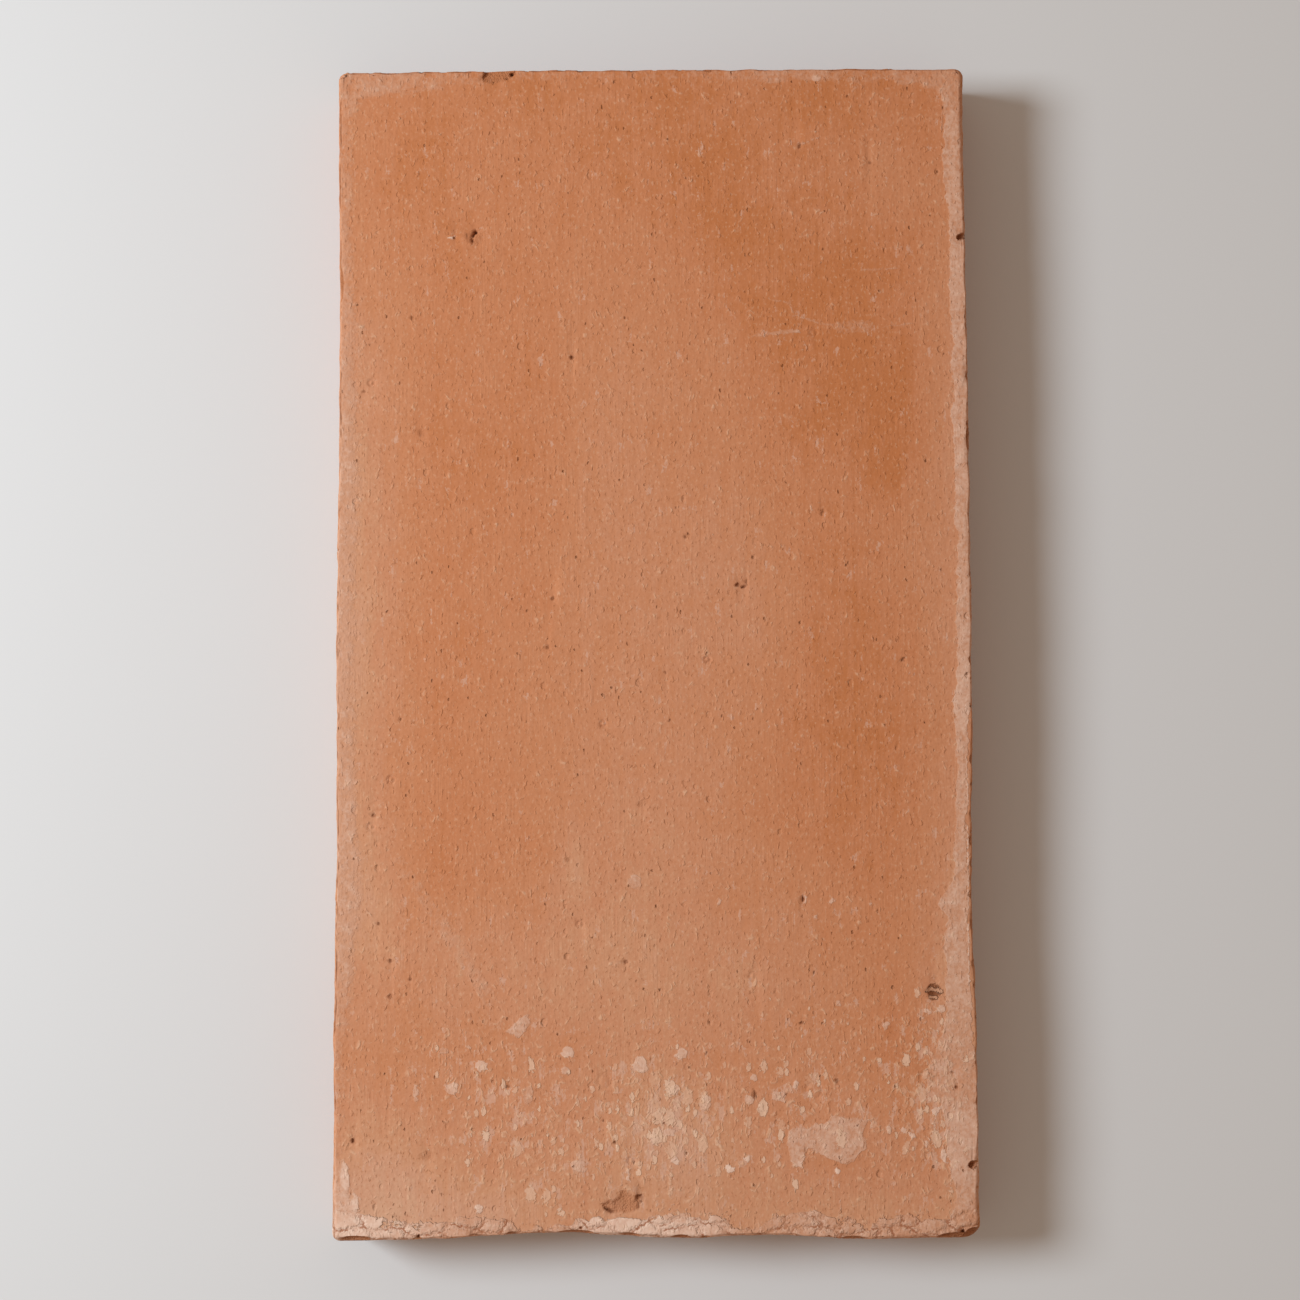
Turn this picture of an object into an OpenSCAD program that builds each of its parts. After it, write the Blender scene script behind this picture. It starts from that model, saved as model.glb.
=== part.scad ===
// Handmade terracotta paving tile: one slab of fired clay, lying on its bed with the show face up.
// Origin at the middle of the bed. X is the width, Y the length, Z the thickness.

/* [Tile] */
// Length, at the fullest point of the ends
tile_length = 400; // [300:5:500]
// Width, at the fullest point of the sides
tile_width = 217.5; // [150:2.5:280]
// Thickness, from the bed to the show face
tile_thickness = 30; // [22:1:45]

/* [Moulded outline] */
// Radius of the plan corners left by the mould
corner_radius = 3.5; // [3:0.5:8]
// How far each side leans in from its fullest height to the show face
side_draft = 0.5; // [0:0.1:1.5]
// Depth of the hollow in the lower end, where the clay drew back from the mould
end_hollow = 2.3; // [0:0.1:4]
// Height of the small waves along every edge
edge_wave = 0.3; // [0:0.05:0.8]

/* [Worn edges] */
// Radius of the worn arris around the show face, where it is least worn
face_arris = 0.9; // [0.4:0.1:2]
// Radius of the arris around the bed
bed_arris = 1.4; // [0.6:0.1:3]

/* [Damage] */
// Whether the chips, pits and spall are cut
damaged = true; // [true, false]
// Depth of the spall, where a skin of clay has flaked off near the lower end
spall_depth = 1; // [0.4:0.1:2]

/* [Mesh] */
// Spacing of the stations along the edges
station_step = 6; // [4:1:12]

/* [Hidden] */
clay = "#C07F5A";
half_w = tile_width / 2;
half_l = tile_length / 2;
corner_steps = 5;
arris_steps = 3;
fullest = 0.4;  // height at which the sides are fullest, as a share of the thickness
spare = 5;      // clay beyond the struck faces, before they are struck
// No arris reaches further in than this, so that it can turn round every corner.
widest = min(0.85 * corner_radius, corner_radius - 0.9);

// Sides run anticlockwise from the right one, and each is followed by its corner.
// Hollows are [middle, half length, depth]: the first two are shares of half the side's length,
// taken from its middle towards +X or +Y, and the depth is in mm.
HOLLOWS = [
    [[-0.4, 0.34, 1.1], [0.9, 0.5, 0.4]],
    [[-1, 0.55, 0.7]],
    [[0.45, 0.5, 0.6], [-0.3, 0.35, 0.5]],
    [[-0.34, 0.5, end_hollow], [0.33, 0.3, end_hollow * 0.6]]
];
// Stretches of show-face arris that are worn wider, written as the hollows are.
WORN = [
    [[1, 0.42, 1.7], [-1, 0.22, 1.5]],
    [[0.95, 0.3, 0.7]],
    [[-0.95, 0.25, 0.8], [0.6, 0.2, 0.4]],
    [[-0.9, 0.35, 1.1], [0, 0.5, 0.9], [0.85, 0.3, 1.2]]
];
CORNER_WEAR = [1.6, 0.8, 0.9, 1.5];  // extra arris on each corner
CORNER_FACTOR = [1, 1, 0.9, 1.5];    // each corner's radius, as a share of corner_radius

// Broken places on the edges: [share of half width, share of half length, semi-axes, turn]
CHIPS = [
    [-0.491, 1.007, [6, 7.6, 4.2], 6],
    [-0.441, 0.998, [3, 2.6, 5.5], 40],
    [0.971, -0.995, [4.2, 3.4, 6], 35],
    [0.971, -0.874, [2.4, 1.7, 3.2], 10],
    [0.977, 0.7, [1.8, 1.1, 2.2], 20],
    [0.99, 0.35, [0.9, 4.5, 1.6], 0],
    [0.985, -0.475, [1.2, 2.4, 2], 0],
    [-0.985, 0.62, [1.2, 6.5, 1.4], 0],
    [0.156, 1, [2.4, 1.4, 1.8], 5],
    [-0.931, -1.004, [7.5, 2.2, 2.4], 3],
    [-0.177, -0.996, [7, 2.4, 2.6], -4],
    [0.082, -1, [4.4, 1.8, 2], 6],
    [0.609, -1.003, [6, 2, 1.8], -3]
];
// Pits in the show face: [share of half width, share of half length, semi-axes, turn]
PITS = [
    [-0.563, 0.704, [2.6, 2.6, 0.9], 0],
    [-0.561, 0.711, [0.8, 1.3, 2.2], 20],
    [0.86, -0.588, [2.3, 2.7, 1.6], 15],
    [0.274, 0.099, [1.8, 1.3, 1.2], 35],
    [-0.255, 0.493, [0.9, 0.8, 1.1], 0]
];
// The spall's ragged outline in mm, about its own middle, and where that middle is
SPALL = [
    [-7.2, -0.6], [-4.8, 1.6], [-1.8, 2.2], [1.2, 3], [3.8, 2.8], [6.6, 2.4],
    [7.2, 0.4], [5.6, -2.3], [1, -2.4], [-4, -2.8], [-5.2, -1.8]
];
spall_at = [-0.105, -0.939];

// Smooth bump: 1 at the middle, 0 from the half length outwards
function bump(t, middle, half) = let (d = abs(t - middle) / half) d >= 1 ? 0 : (1 + cos(180 * d)) / 2;
function worn(list, t) = list == [] ? 0 : [for (h = list) bump(t, h[0], h[1]) * h[2]] * [for (h = list) 1];
// Small waves along an edge, always inwards so that the overall size holds, which die away at the corners
function wave(t, side) =
    let (
        along = side % 2 == 0 ? half_l : half_w,
        from_corner = (1 - abs(t)) * along - 1.5 * corner_radius
    )
    edge_wave * max(0, min(1, from_corner / 12))
    * (2 - sin(t * along * 8.3 + 71 * side) - sin(t * along * 21.7 + 40 * side)) / 4;

// Stations around the tile: [x, y, outward normal x, y, share along the side, side]
function side_station(side, t) =
    let (
        along = side % 2 == 0 ? half_l : half_w,
        out = (side % 2 == 0 ? half_w : half_l) - worn(HOLLOWS[side], t) - wave(t, side)
    )
    side == 0 ? [out, t * along, 1, 0, t, side]
    : side == 1 ? [t * along, out, 0, 1, t, side]
    : side == 2 ? [-out, t * along, -1, 0, t, side]
    : [t * along, -out, 0, -1, t, side];

// Along a side the share runs up on the right and lower sides, and down on the other two.
function side_run(side) =
    let (
        along = side % 2 == 0 ? half_l : half_w,
        clear = 1 - corner_radius * CORNER_FACTOR[side] / along,
        start = 1 - corner_radius * CORNER_FACTOR[(side + 3) % 4] / along,
        up = side == 0 || side == 3,
        steps = ceil(2 * along / station_step)
    )
    [for (i = [0:steps]) up ? -start + (start + clear) * i / steps : start - (start + clear) * i / steps];

// A corner is an arc that joins the ends of the two sides it lies between.
function corner_stations(side) =
    let (
        a = side_station(side, last(side_run(side))),
        b = side_station((side + 1) % 4, side_run((side + 1) % 4)[0]),
        mid = side % 2 == 0 ? [b[0], a[1]] : [a[0], b[1]],
        reach = side % 2 == 0 ? [a[0] - mid[0], b[1] - mid[1]] : [b[0] - mid[0], a[1] - mid[1]]
    )
    [for (i = [1:corner_steps - 1])
        let (turn = 90 * (side + i / corner_steps), x = cos(turn), y = sin(turn))
        [mid[0] + abs(reach[0]) * x, mid[1] + abs(reach[1]) * y, x, y, 1, side + 0.5]];

function last(list) = list[len(list) - 1];

STATIONS = [for (side = [0:3]) each concat(
    [for (t = side_run(side)) side_station(side, t)],
    corner_stations(side)
)];

// Width of the show-face arris at a station
function arris(s) =
    let (
        wear = s[5] == floor(s[5]) ? worn(WORN[s[5]], s[4]) : CORNER_WEAR[floor(s[5])],
        uneven = edge_wave * (1 + sin(s[0] * 31 + s[1] * 23)) / 2
    )
    min(face_arris + wear + uneven, widest - side_draft);

// The section: at each level, [inset, height] for one station.
// It runs a little past the bed and the show face, which are then struck flat.
function section(s) =
    let (
        run = arris(s),
        under = min(bed_arris * (1 + 0.3 * sin(s[0] * 17 + s[1] * 13)), widest / 1.3)
    )
    concat(
        [[under * 1.3, -under * 0.2], [under * 0.3, under * 0.35], [0.1, under * 1.2]],
        [[0, fullest * tile_thickness]],
        [for (i = [0:arris_steps])
            let (turn = 90 * i / (arris_steps + 1))
            [side_draft + run * (1 - cos(turn)), tile_thickness - 1.15 * run * (1 - sin(turn))]],
        [[side_draft + run, tile_thickness + run * 0.06]]
    );

// The moulded clay: the section lofted around the stations and closed at both ends
module moulded() {
    sections = [for (s = STATIONS) section(s)];
    n = len(STATIONS);
    levels = len(sections[0]);
    ring_points = [for (k = [0:levels - 1], i = [0:n - 1])
        let (s = STATIONS[i], c = sections[i][k])
        [s[0] - s[2] * c[0], s[1] - s[3] * c[0], c[1]]];
    bed_middle = n * levels;
    face_middle = bed_middle + 1;
    walls = [for (k = [0:levels - 2], i = [0:n - 1])
        let (a = k * n + i, b = k * n + (i + 1) % n)
        each [[a, a + n, b], [b, a + n, b + n]]];
    bed = [for (i = [0:n - 1]) [bed_middle, i, (i + 1) % n]];
    top = (levels - 1) * n;
    face = [for (i = [0:n - 1]) [face_middle, top + (i + 1) % n, top + i]];
    polyhedron(
        concat(ring_points, [[0, 0, -spare], [0, 0, tile_thickness + spare]]),
        concat(walls, bed, face),
        convexity = 4
    );
}

// The blank: the moulded clay struck flat on its bed and on its show face
module blank() {
    intersection() {
        moulded();
        translate([-half_w - spare, -half_l - spare, 0])
            cube([tile_width + 2 * spare, tile_length + 2 * spare, tile_thickness]);
    }
}

// A fracture scoop: a ball of few faces whose radius differs from point to point, as broken clay does
module scoop(place) {
    size = place[2];
    sides = 9;
    rings = 4;
    ring_points = [for (k = [1:rings], i = [0:sides - 1])
        let (
            down = 180 * k / (rings + 1),
            turn = 360 * (i + k / 2) / sides,
            reach = (1 + 0.13 * sin(137 * i + 71 * k)) * sin(down)
        )
        [size[0] * reach * cos(turn), size[1] * reach * sin(turn), size[2] * cos(down)]];
    low = sides * rings;
    walls = [for (k = [0:rings - 2], i = [0:sides - 1])
        let (a = k * sides + i, b = k * sides + (i + 1) % sides)
        each [[a, b, b + sides], [a, b + sides, a + sides]]];
    crown = [for (i = [0:sides - 1]) [low, (i + 1) % sides, i]];
    foot = [for (i = [0:sides - 1]) [low + 1, low - sides + i, low - sides + (i + 1) % sides]];
    translate([place[0] * half_w, place[1] * half_l, tile_thickness])
        rotate([0, 0, place[3]])
            polyhedron(concat(ring_points, [[0, 0, size[2]], [0, 0, -size[2]]]), concat(walls, crown, foot));
}

// Where a thin skin has flaked off the show face
module spall() {
    translate([spall_at[0] * half_w, spall_at[1] * half_l, tile_thickness - spall_depth])
        linear_extrude(2 * spall_depth)
            polygon(SPALL);
}

module tile() {
    color(clay)
        difference() {
            blank();
            if (damaged) {
                for (place = CHIPS) scoop(place);
                for (place = PITS) scoop(place);
                spall();
            }
        }
}

tile();
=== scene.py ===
import itertools
import math

import bpy
import numpy as np
from mathutils import Matrix, Vector


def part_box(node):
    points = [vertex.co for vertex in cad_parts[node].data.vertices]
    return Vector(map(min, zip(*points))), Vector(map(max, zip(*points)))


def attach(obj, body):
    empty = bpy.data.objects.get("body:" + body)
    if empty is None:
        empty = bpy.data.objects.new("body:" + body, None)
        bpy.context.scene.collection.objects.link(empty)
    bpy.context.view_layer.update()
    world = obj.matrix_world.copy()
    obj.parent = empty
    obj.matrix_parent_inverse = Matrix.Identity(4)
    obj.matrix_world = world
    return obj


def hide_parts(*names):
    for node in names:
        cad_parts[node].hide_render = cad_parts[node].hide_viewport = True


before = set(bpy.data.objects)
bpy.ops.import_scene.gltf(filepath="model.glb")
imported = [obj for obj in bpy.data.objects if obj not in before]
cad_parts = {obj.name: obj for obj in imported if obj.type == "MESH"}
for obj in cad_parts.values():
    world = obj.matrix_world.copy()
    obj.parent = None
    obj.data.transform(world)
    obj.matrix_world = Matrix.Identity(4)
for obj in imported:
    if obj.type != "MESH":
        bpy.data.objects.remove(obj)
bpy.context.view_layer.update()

# ---- The tile, as it left the mould ----
# One slab of clay thrown by hand into a sanded wooden frame and fired, so it is one piece.
# The frame gives the sides and the wavering outline, and a wet strike drawn along it gives the face.
MM = 0.001
low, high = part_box("tile")
half_w = high.x / MM
half_l = high.y / MM
thick = high.z / MM
sunk = 0.25  # mm that the face lies inside the box, which leaves room for its undulation

CELL = 0.5  # mm between the points of the first, even mesh
CORNER_CELLS = 5                   # cells from the end of a side to the middle of its corner
TILE_TRIANGLES = 185_000           # what is left once the flat places are thinned out

corner_radius = 3.5  # all of these in mm
side_draft = 0.5     # how far each side leans in from its fullest height to the face
end_hollow = 2.3     # depth of the hollow in the lower end, where the clay drew back
edge_wave = 0.3      # height of the small waves along every edge
face_arris = 0.9     # size of the arris round the face, where it is least worn
bed_arris = 1.4
fullest = 0.4        # height at which the sides are fullest, as a share of the thickness
# No arris reaches further in than this, so that it can turn round every corner.
widest = min(0.85 * corner_radius, corner_radius - 0.9)

# Sides run anticlockwise from the right one, and each is followed by its corner.
# Hollows are (middle, half length, depth in mm), the first two as shares of half the side.
HOLLOWS = [
    [(-0.4, 0.34, 1.1), (0.9, 0.5, 0.4)],
    [(-1, 0.55, 0.7)],
    [(0.45, 0.5, 0.6), (-0.3, 0.35, 0.5)],
    [(-0.34, 0.5, end_hollow), (0.33, 0.3, end_hollow * 0.6)],
]
# Stretches of the face's arris that are worn wider, written as the hollows are.
WORN = [
    [(1, 0.42, 1.7), (-1, 0.22, 1.5)],
    [(0.95, 0.3, 0.7)],
    [(-0.95, 0.25, 0.8), (0.6, 0.2, 0.4)],
    [(-0.9, 0.35, 1.1), (0, 0.5, 0.9), (0.85, 0.3, 1.2)],
]
CORNER_WEAR = [1.6, 0.8, 0.9, 1.5]  # mm of extra arris on each corner
CORNER_FACTOR = [1, 1, 0.9, 1.5]    # each corner's radius, as a share of corner_radius


# Smooth bump: 1 at the middle, 0 from the half length outwards
def bump(t, middle, half):
    away = np.minimum(np.abs(t - middle) / half, 1)
    return (1 + np.cos(np.pi * away)) / 2


# All the hollows or worn stretches of one side, added up
def worn(places, t):
    return sum((depth * bump(t, middle, half) for middle, half, depth in places), np.zeros_like(t))


# Stations along one side, at shares of half of it: [x, y, outward normal x, y, extra wear of the arris]
def side_stations(side, t):
    along, out = (half_l, half_w) if side % 2 == 0 else (half_w, half_l)
    unit = 1 if side < 2 else -1
    slow_wave, quick_wave = 8.3, 21.7  # degrees of wave to each mm
    fades_over = 12                    # mm, towards a corner
    mm = np.radians(t * along)
    waves = edge_wave * (2 - np.sin(mm * slow_wave + math.radians(71 * side))
                         - np.sin(mm * quick_wave + math.radians(40 * side))) / 4
    waves *= np.clip(((1 - np.abs(t)) * along - 1.5 * corner_radius) / fades_over, 0, 1)
    out = (out - worn(HOLLOWS[side], t) - waves) * unit
    if side % 2 == 0:
        return np.stack([out, t * along, np.full_like(t, unit), 0 * t, worn(WORN[side], t)], 1)
    return np.stack([t * along, out, 0 * t, np.full_like(t, unit), worn(WORN[side], t)], 1)


# Where its stations stand, evenly between its corners. Opposite sides have as many.
def side_shares(side):
    along = half_l if side % 2 == 0 else half_w
    last = 1 - corner_radius * CORNER_FACTOR[side] / along
    first = 1 - corner_radius * CORNER_FACTOR[side - 1] / along
    cells = round((first + last) * along / CELL / 2) * 2
    cells = SIDE_CELLS.setdefault(side % 2, cells)
    shares = np.linspace(-first, last, cells + 1)
    return shares if side in (0, 3) else -shares


# Half of a corner's arc, which joins the ends of the two sides it lies between
def half_corner(side, second):
    a = side_stations(side, side_shares(side)[-1:])[0]
    b = side_stations((side + 1) % 4, side_shares((side + 1) % 4)[:1])[0]
    middle = (b[0], a[1]) if side % 2 == 0 else (a[0], b[1])
    reach = (abs(a[0] - b[0]), abs(a[1] - b[1]))
    steps = np.arange(CORNER_CELLS) + (CORNER_CELLS if second else 1)
    turn = np.radians(90 * (side + steps / (2 * CORNER_CELLS)))
    if not second:
        turn = turn[:-1]
    x, y = np.cos(turn), np.sin(turn)
    wear = np.full_like(turn, CORNER_WEAR[side])
    return np.stack([middle[0] + reach[0] * x, middle[1] + reach[1] * y, x, y, wear], 1)


# Stations round the tile from the middle of the corner before the right side:
# [x, y, outward normal x, y, extra wear of the arris]
SIDE_CELLS = {}
stations = np.concatenate([part for side in range(4) for part in (
    half_corner((side + 3) % 4, True),
    side_stations(side, side_shares(side)),
    half_corner(side, False),
)])
long_cells = SIDE_CELLS[0] + 2 * CORNER_CELLS
short_cells = SIDE_CELLS[1] + 2 * CORNER_CELLS
around = len(stations)


# The section at every station, from the bed's edge up to the face's: (inset, height) for each level
def section():
    x, y = np.radians(stations[:, 0]), np.radians(stations[:, 1])
    drop = 1.15      # height of the face's arris for each mm that it runs in
    foot = 0.1       # mm that the side leans in at the top of the bed's arris
    bed_rise = 1.2   # height of the bed's arris for each mm of its size
    bed_run = 0.85   # how far in it goes, likewise
    run = face_arris + stations[:, 4] + edge_wave * (1 + np.sin(x * 31 + y * 23)) / 2
    run = np.minimum(run, widest - side_draft)
    under = np.minimum(bed_arris * (1 + 0.3 * np.sin(x * 17 + y * 13)), widest / 1.3)
    shoulder = thick - drop * run
    levels = []
    for turn in np.linspace(0, math.pi / 2, 6):
        inset = foot + bed_run * under * (1 - math.sin(turn))
        levels.append((inset, bed_rise * under * (1 - math.cos(turn))))
    for share in np.linspace(0, 1, round(0.32 * thick / CELL))[1:]:
        height = bed_rise * under * (1 - share) + fullest * thick * share
        levels.append((foot * (1 - share) + 0 * under, height))
    for share in np.linspace(0, 1, round(0.5 * thick / CELL))[1:]:
        height = fullest * thick * (1 - share) + shoulder * share
        levels.append((side_draft * share + 0 * under, height))
    for turn in np.linspace(0, math.pi / 2, round(4.5 / CELL))[1:]:
        inset = side_draft + run * (1 - math.cos(turn))
        levels.append((inset, shoulder + drop * run * math.sin(turn)))
    return levels


rings = np.stack([
    np.stack([stations[:, 0] - stations[:, 2] * inset, stations[:, 1] - stations[:, 3] * inset,
              0 * inset + height], 1)
    for inset, height in section()])


# The four sides of a ring, each from corner to corner towards +X or +Y: lower, upper, left, right
def ring_sides(ring):
    ring = np.concatenate([ring, ring[:1]])
    right = ring[:long_cells + 1]
    upper = ring[long_cells:long_cells + short_cells + 1][::-1]
    left = ring[long_cells + short_cells:2 * long_cells + short_cells + 1][::-1]
    lower = ring[2 * long_cells + short_cells:]
    return lower, upper, left, right


# A flat face filled in between the sides of its ring
def fill(ring):
    lower, upper, left, right = ring_sides(ring)
    u = np.linspace(0, 1, short_cells + 1)[None, :, None]
    v = np.linspace(0, 1, long_cells + 1)[:, None, None]
    corners = ((1 - v) * ((1 - u) * lower[0] + u * lower[-1])
               + v * ((1 - u) * upper[0] + u * upper[-1]))
    sides = (1 - v) * lower[None] + v * upper[None] + (1 - u) * left[:, None] + u * right[:, None]
    return sides - corners


# The closed mesh: points, and four-sided faces that look outwards
def moulded():
    levels = len(rings)
    points = [rings.reshape(-1, 3)]
    ring_index = np.arange(levels * around).reshape(levels, around)
    after = np.roll(ring_index, -1, 1)
    faces = [np.stack([ring_index[:-1], after[:-1], after[1:], ring_index[1:]], -1).reshape(-1, 4)]
    count = levels * around
    for level, looks_up in ((levels - 1, True), (0, False)):
        inner = fill(rings[level])[1:-1, 1:-1]
        grid = np.zeros((long_cells + 1, short_cells + 1), int)
        lower, upper, left, right = ring_sides(ring_index[level])
        grid[0], grid[-1], grid[:, 0], grid[:, -1] = lower, upper, left, right
        grid[1:-1, 1:-1] = count + np.arange(inner[..., 0].size).reshape(inner.shape[:2])
        count += inner[..., 0].size
        points.append(inner.reshape(-1, 3))
        quads = np.stack([grid[:-1, :-1], grid[:-1, 1:], grid[1:, 1:], grid[1:, :-1]], -1)
        quads = quads.reshape(-1, 4)
        faces.append(quads if looks_up else quads[:, ::-1])
    return np.concatenate(points), np.concatenate(faces)


# A mesh made of points and faces that all have as many corners
def new_mesh(name, points, faces):
    mesh = bpy.data.meshes.new(name)
    mesh.vertices.add(len(points))
    mesh.vertices.foreach_set("co", points.astype(np.float32).ravel())
    mesh.loops.add(faces.size)
    mesh.loops.foreach_set("vertex_index", faces.astype(np.int32).ravel())
    mesh.polygons.add(len(faces))
    mesh.polygons.foreach_set("loop_start", np.arange(len(faces), dtype=np.int32) * faces.shape[1])
    mesh.update(calc_edges=True)
    return mesh


# ---- Its surfaces, as the strike, the mould's sand and the drying floor left them ----
# The face is rubbed with a wet board along Y, so it is flat but for drag marks and a slow undulation.
# The sides keep the mould's sand, and the bed is rough from the sanded floor that it dried on.
# Relief: (how deep in mm, size of a hill along X, Y and Z in mm, seed)
FACE_RELIEF = [(0.11, (70, 110, 60), 1), (0.07, (22, 34, 20), 2), (0.025, (3.4, 42, 10), 3)]
SIDE_RELIEF = [(0.13, (14, 14, 5), 6), (0.14, (4.5, 4.5, 1.6), 7), (0.08, (1.5, 1.5, 1.1), 8)]
BED_RELIEF = [(0.2, (16, 20, 9), 9), (0.1, (5, 6, 4), 10)]
side_sunk = 0.2  # mm that the sides lie inside the box, before their relief
bed_sunk = 0.3   # and the bed


# Smooth noise from -1 to 1 with about one hill to each size, in mm along X, Y and Z
def cloud(points, size, seed, smooth=True):
    table = np.random.default_rng(seed).uniform(-1, 1, (32, 32, 32))
    place = points / size
    cell = np.floor(place).astype(int)
    part = place - cell
    if smooth:
        part = part * part * (3 - 2 * part)
    total = 0
    for corner in itertools.product((0, 1), repeat=3):
        i, j, k = ((cell + corner) % 32).T
        total = total + np.where(corner, part, 1 - part).prod(1) * table[i, j, k]
    return total


# 0 up to the first value, 1 from the second on, and smooth between
def rise(value, first, last):
    share = np.clip((value - first) / (last - first), 0, 1)
    return share * share * (3 - 2 * share)


# All the hills and hollows of one kind of surface, added to how deep it already lies
def relief_of(points, depth, layers):
    for much, size, seed in layers:
        depth = depth + much * cloud(points, size, seed)
    return depth


# Every point pushed in by the relief of the surface that it lies on: face, side or bed
def clay_surface(points, normals):
    up = np.clip(normals[:, 2], 0, 1) ** 2
    down = np.clip(-normals[:, 2], 0, 1) ** 2
    side = 1 - up - down
    face = relief_of(points, sunk, FACE_RELIEF)
    sides = relief_of(points, side_sunk, SIDE_RELIEF)
    bed = relief_of(points, bed_sunk, BED_RELIEF)
    depth = up * face + side * sides + down * bed
    # The arris is a little nibbled all the way round, and more finely along the right and lower sides.
    arris = np.clip(1 - np.abs(2 * np.abs(normals[:, 2]) - 1), 0, 1)
    small, broad = cloud(points, 3.2, 12), cloud(points, 9, 13)
    depth += arris * (0.5 * np.maximum(small, 0) + 0.5 * np.maximum(broad - 0.1, 0))
    at_right = rise(points[:, 0], half_w - 12, half_w - 4)
    at_lower = rise(-points[:, 1], half_l - 12, half_l - 4)
    lower_right = 0.55 + 0.45 * np.maximum(at_right, at_lower)
    depth += arris * lower_right * 0.6 * np.maximum(cloud(points, (2.2, 2.2, 1.8), 14) - 0.05, 0)
    least = 0.02  # mm that every point goes in, so that all stay inside the box
    return points - normals * np.maximum(depth, least)[:, None]


# ---- What handling, frost and years of use broke off or left in the face ----
# Low-fired clay is brittle and breaks in steep ragged walls, so each broken place is a rough scoop
# pushed into the surface one way. Fresh breaks are marked as broken, and deep ones as holding dirt and
# painted shade.
# Broken: (x, y, z below the face, half sizes in mm, turn in degrees, the way it was struck)
BROKEN = [
    (105.6, -199.0, 0, (4.2, 3.4, 6.0), 35, (-0.6, 0.6, -0.5)),
    (106.0, -174.8, 0, (1.8, 1.3, 2.0), 10, (-0.8, 0, -0.6)),
    (106.3, 140.0, 0, (1.8, 1.1, 2.2), 20, (-0.8, 0, -0.6)),
    (107.7, 70.0, 0, (0.9, 4.5, 1.6), 0, (-0.8, 0, -0.6)),
    (107.1, -95.0, 0, (1.2, 2.4, 2.0), 0, (-0.8, 0, -0.6)),
    (-107.1, 124.0, 0, (1.2, 6.5, 1.4), 0, (0.8, 0, -0.6)),
    (17.0, 200.0, 0, (2.4, 1.4, 1.8), 5, (0, -0.8, -0.6)),
    (-101.2, -200.2, 0, (8.0, 2.8, 2.6), 3, (0, 0.8, -0.6)),
    (-28.0, -198.3, 0, (9.0, 2.6, 2.6), 2, (0, 0.8, -0.6)),
    (-9.0, -198.6, 0, (5.0, 2.0, 2.2), -4, (0, 0.8, -0.6)),
    (7.5, -199.4, 0, (4.4, 2.0, 2.2), 6, (0, 0.8, -0.6)),
    (66.2, -200.2, 0, (6.0, 2.2, 2.0), -3, (0, 0.8, -0.6)),
    (99.0, -199.6, 0, (7.0, 2.6, 3.2), 4, (0, 0.8, -0.6)),
]
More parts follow.
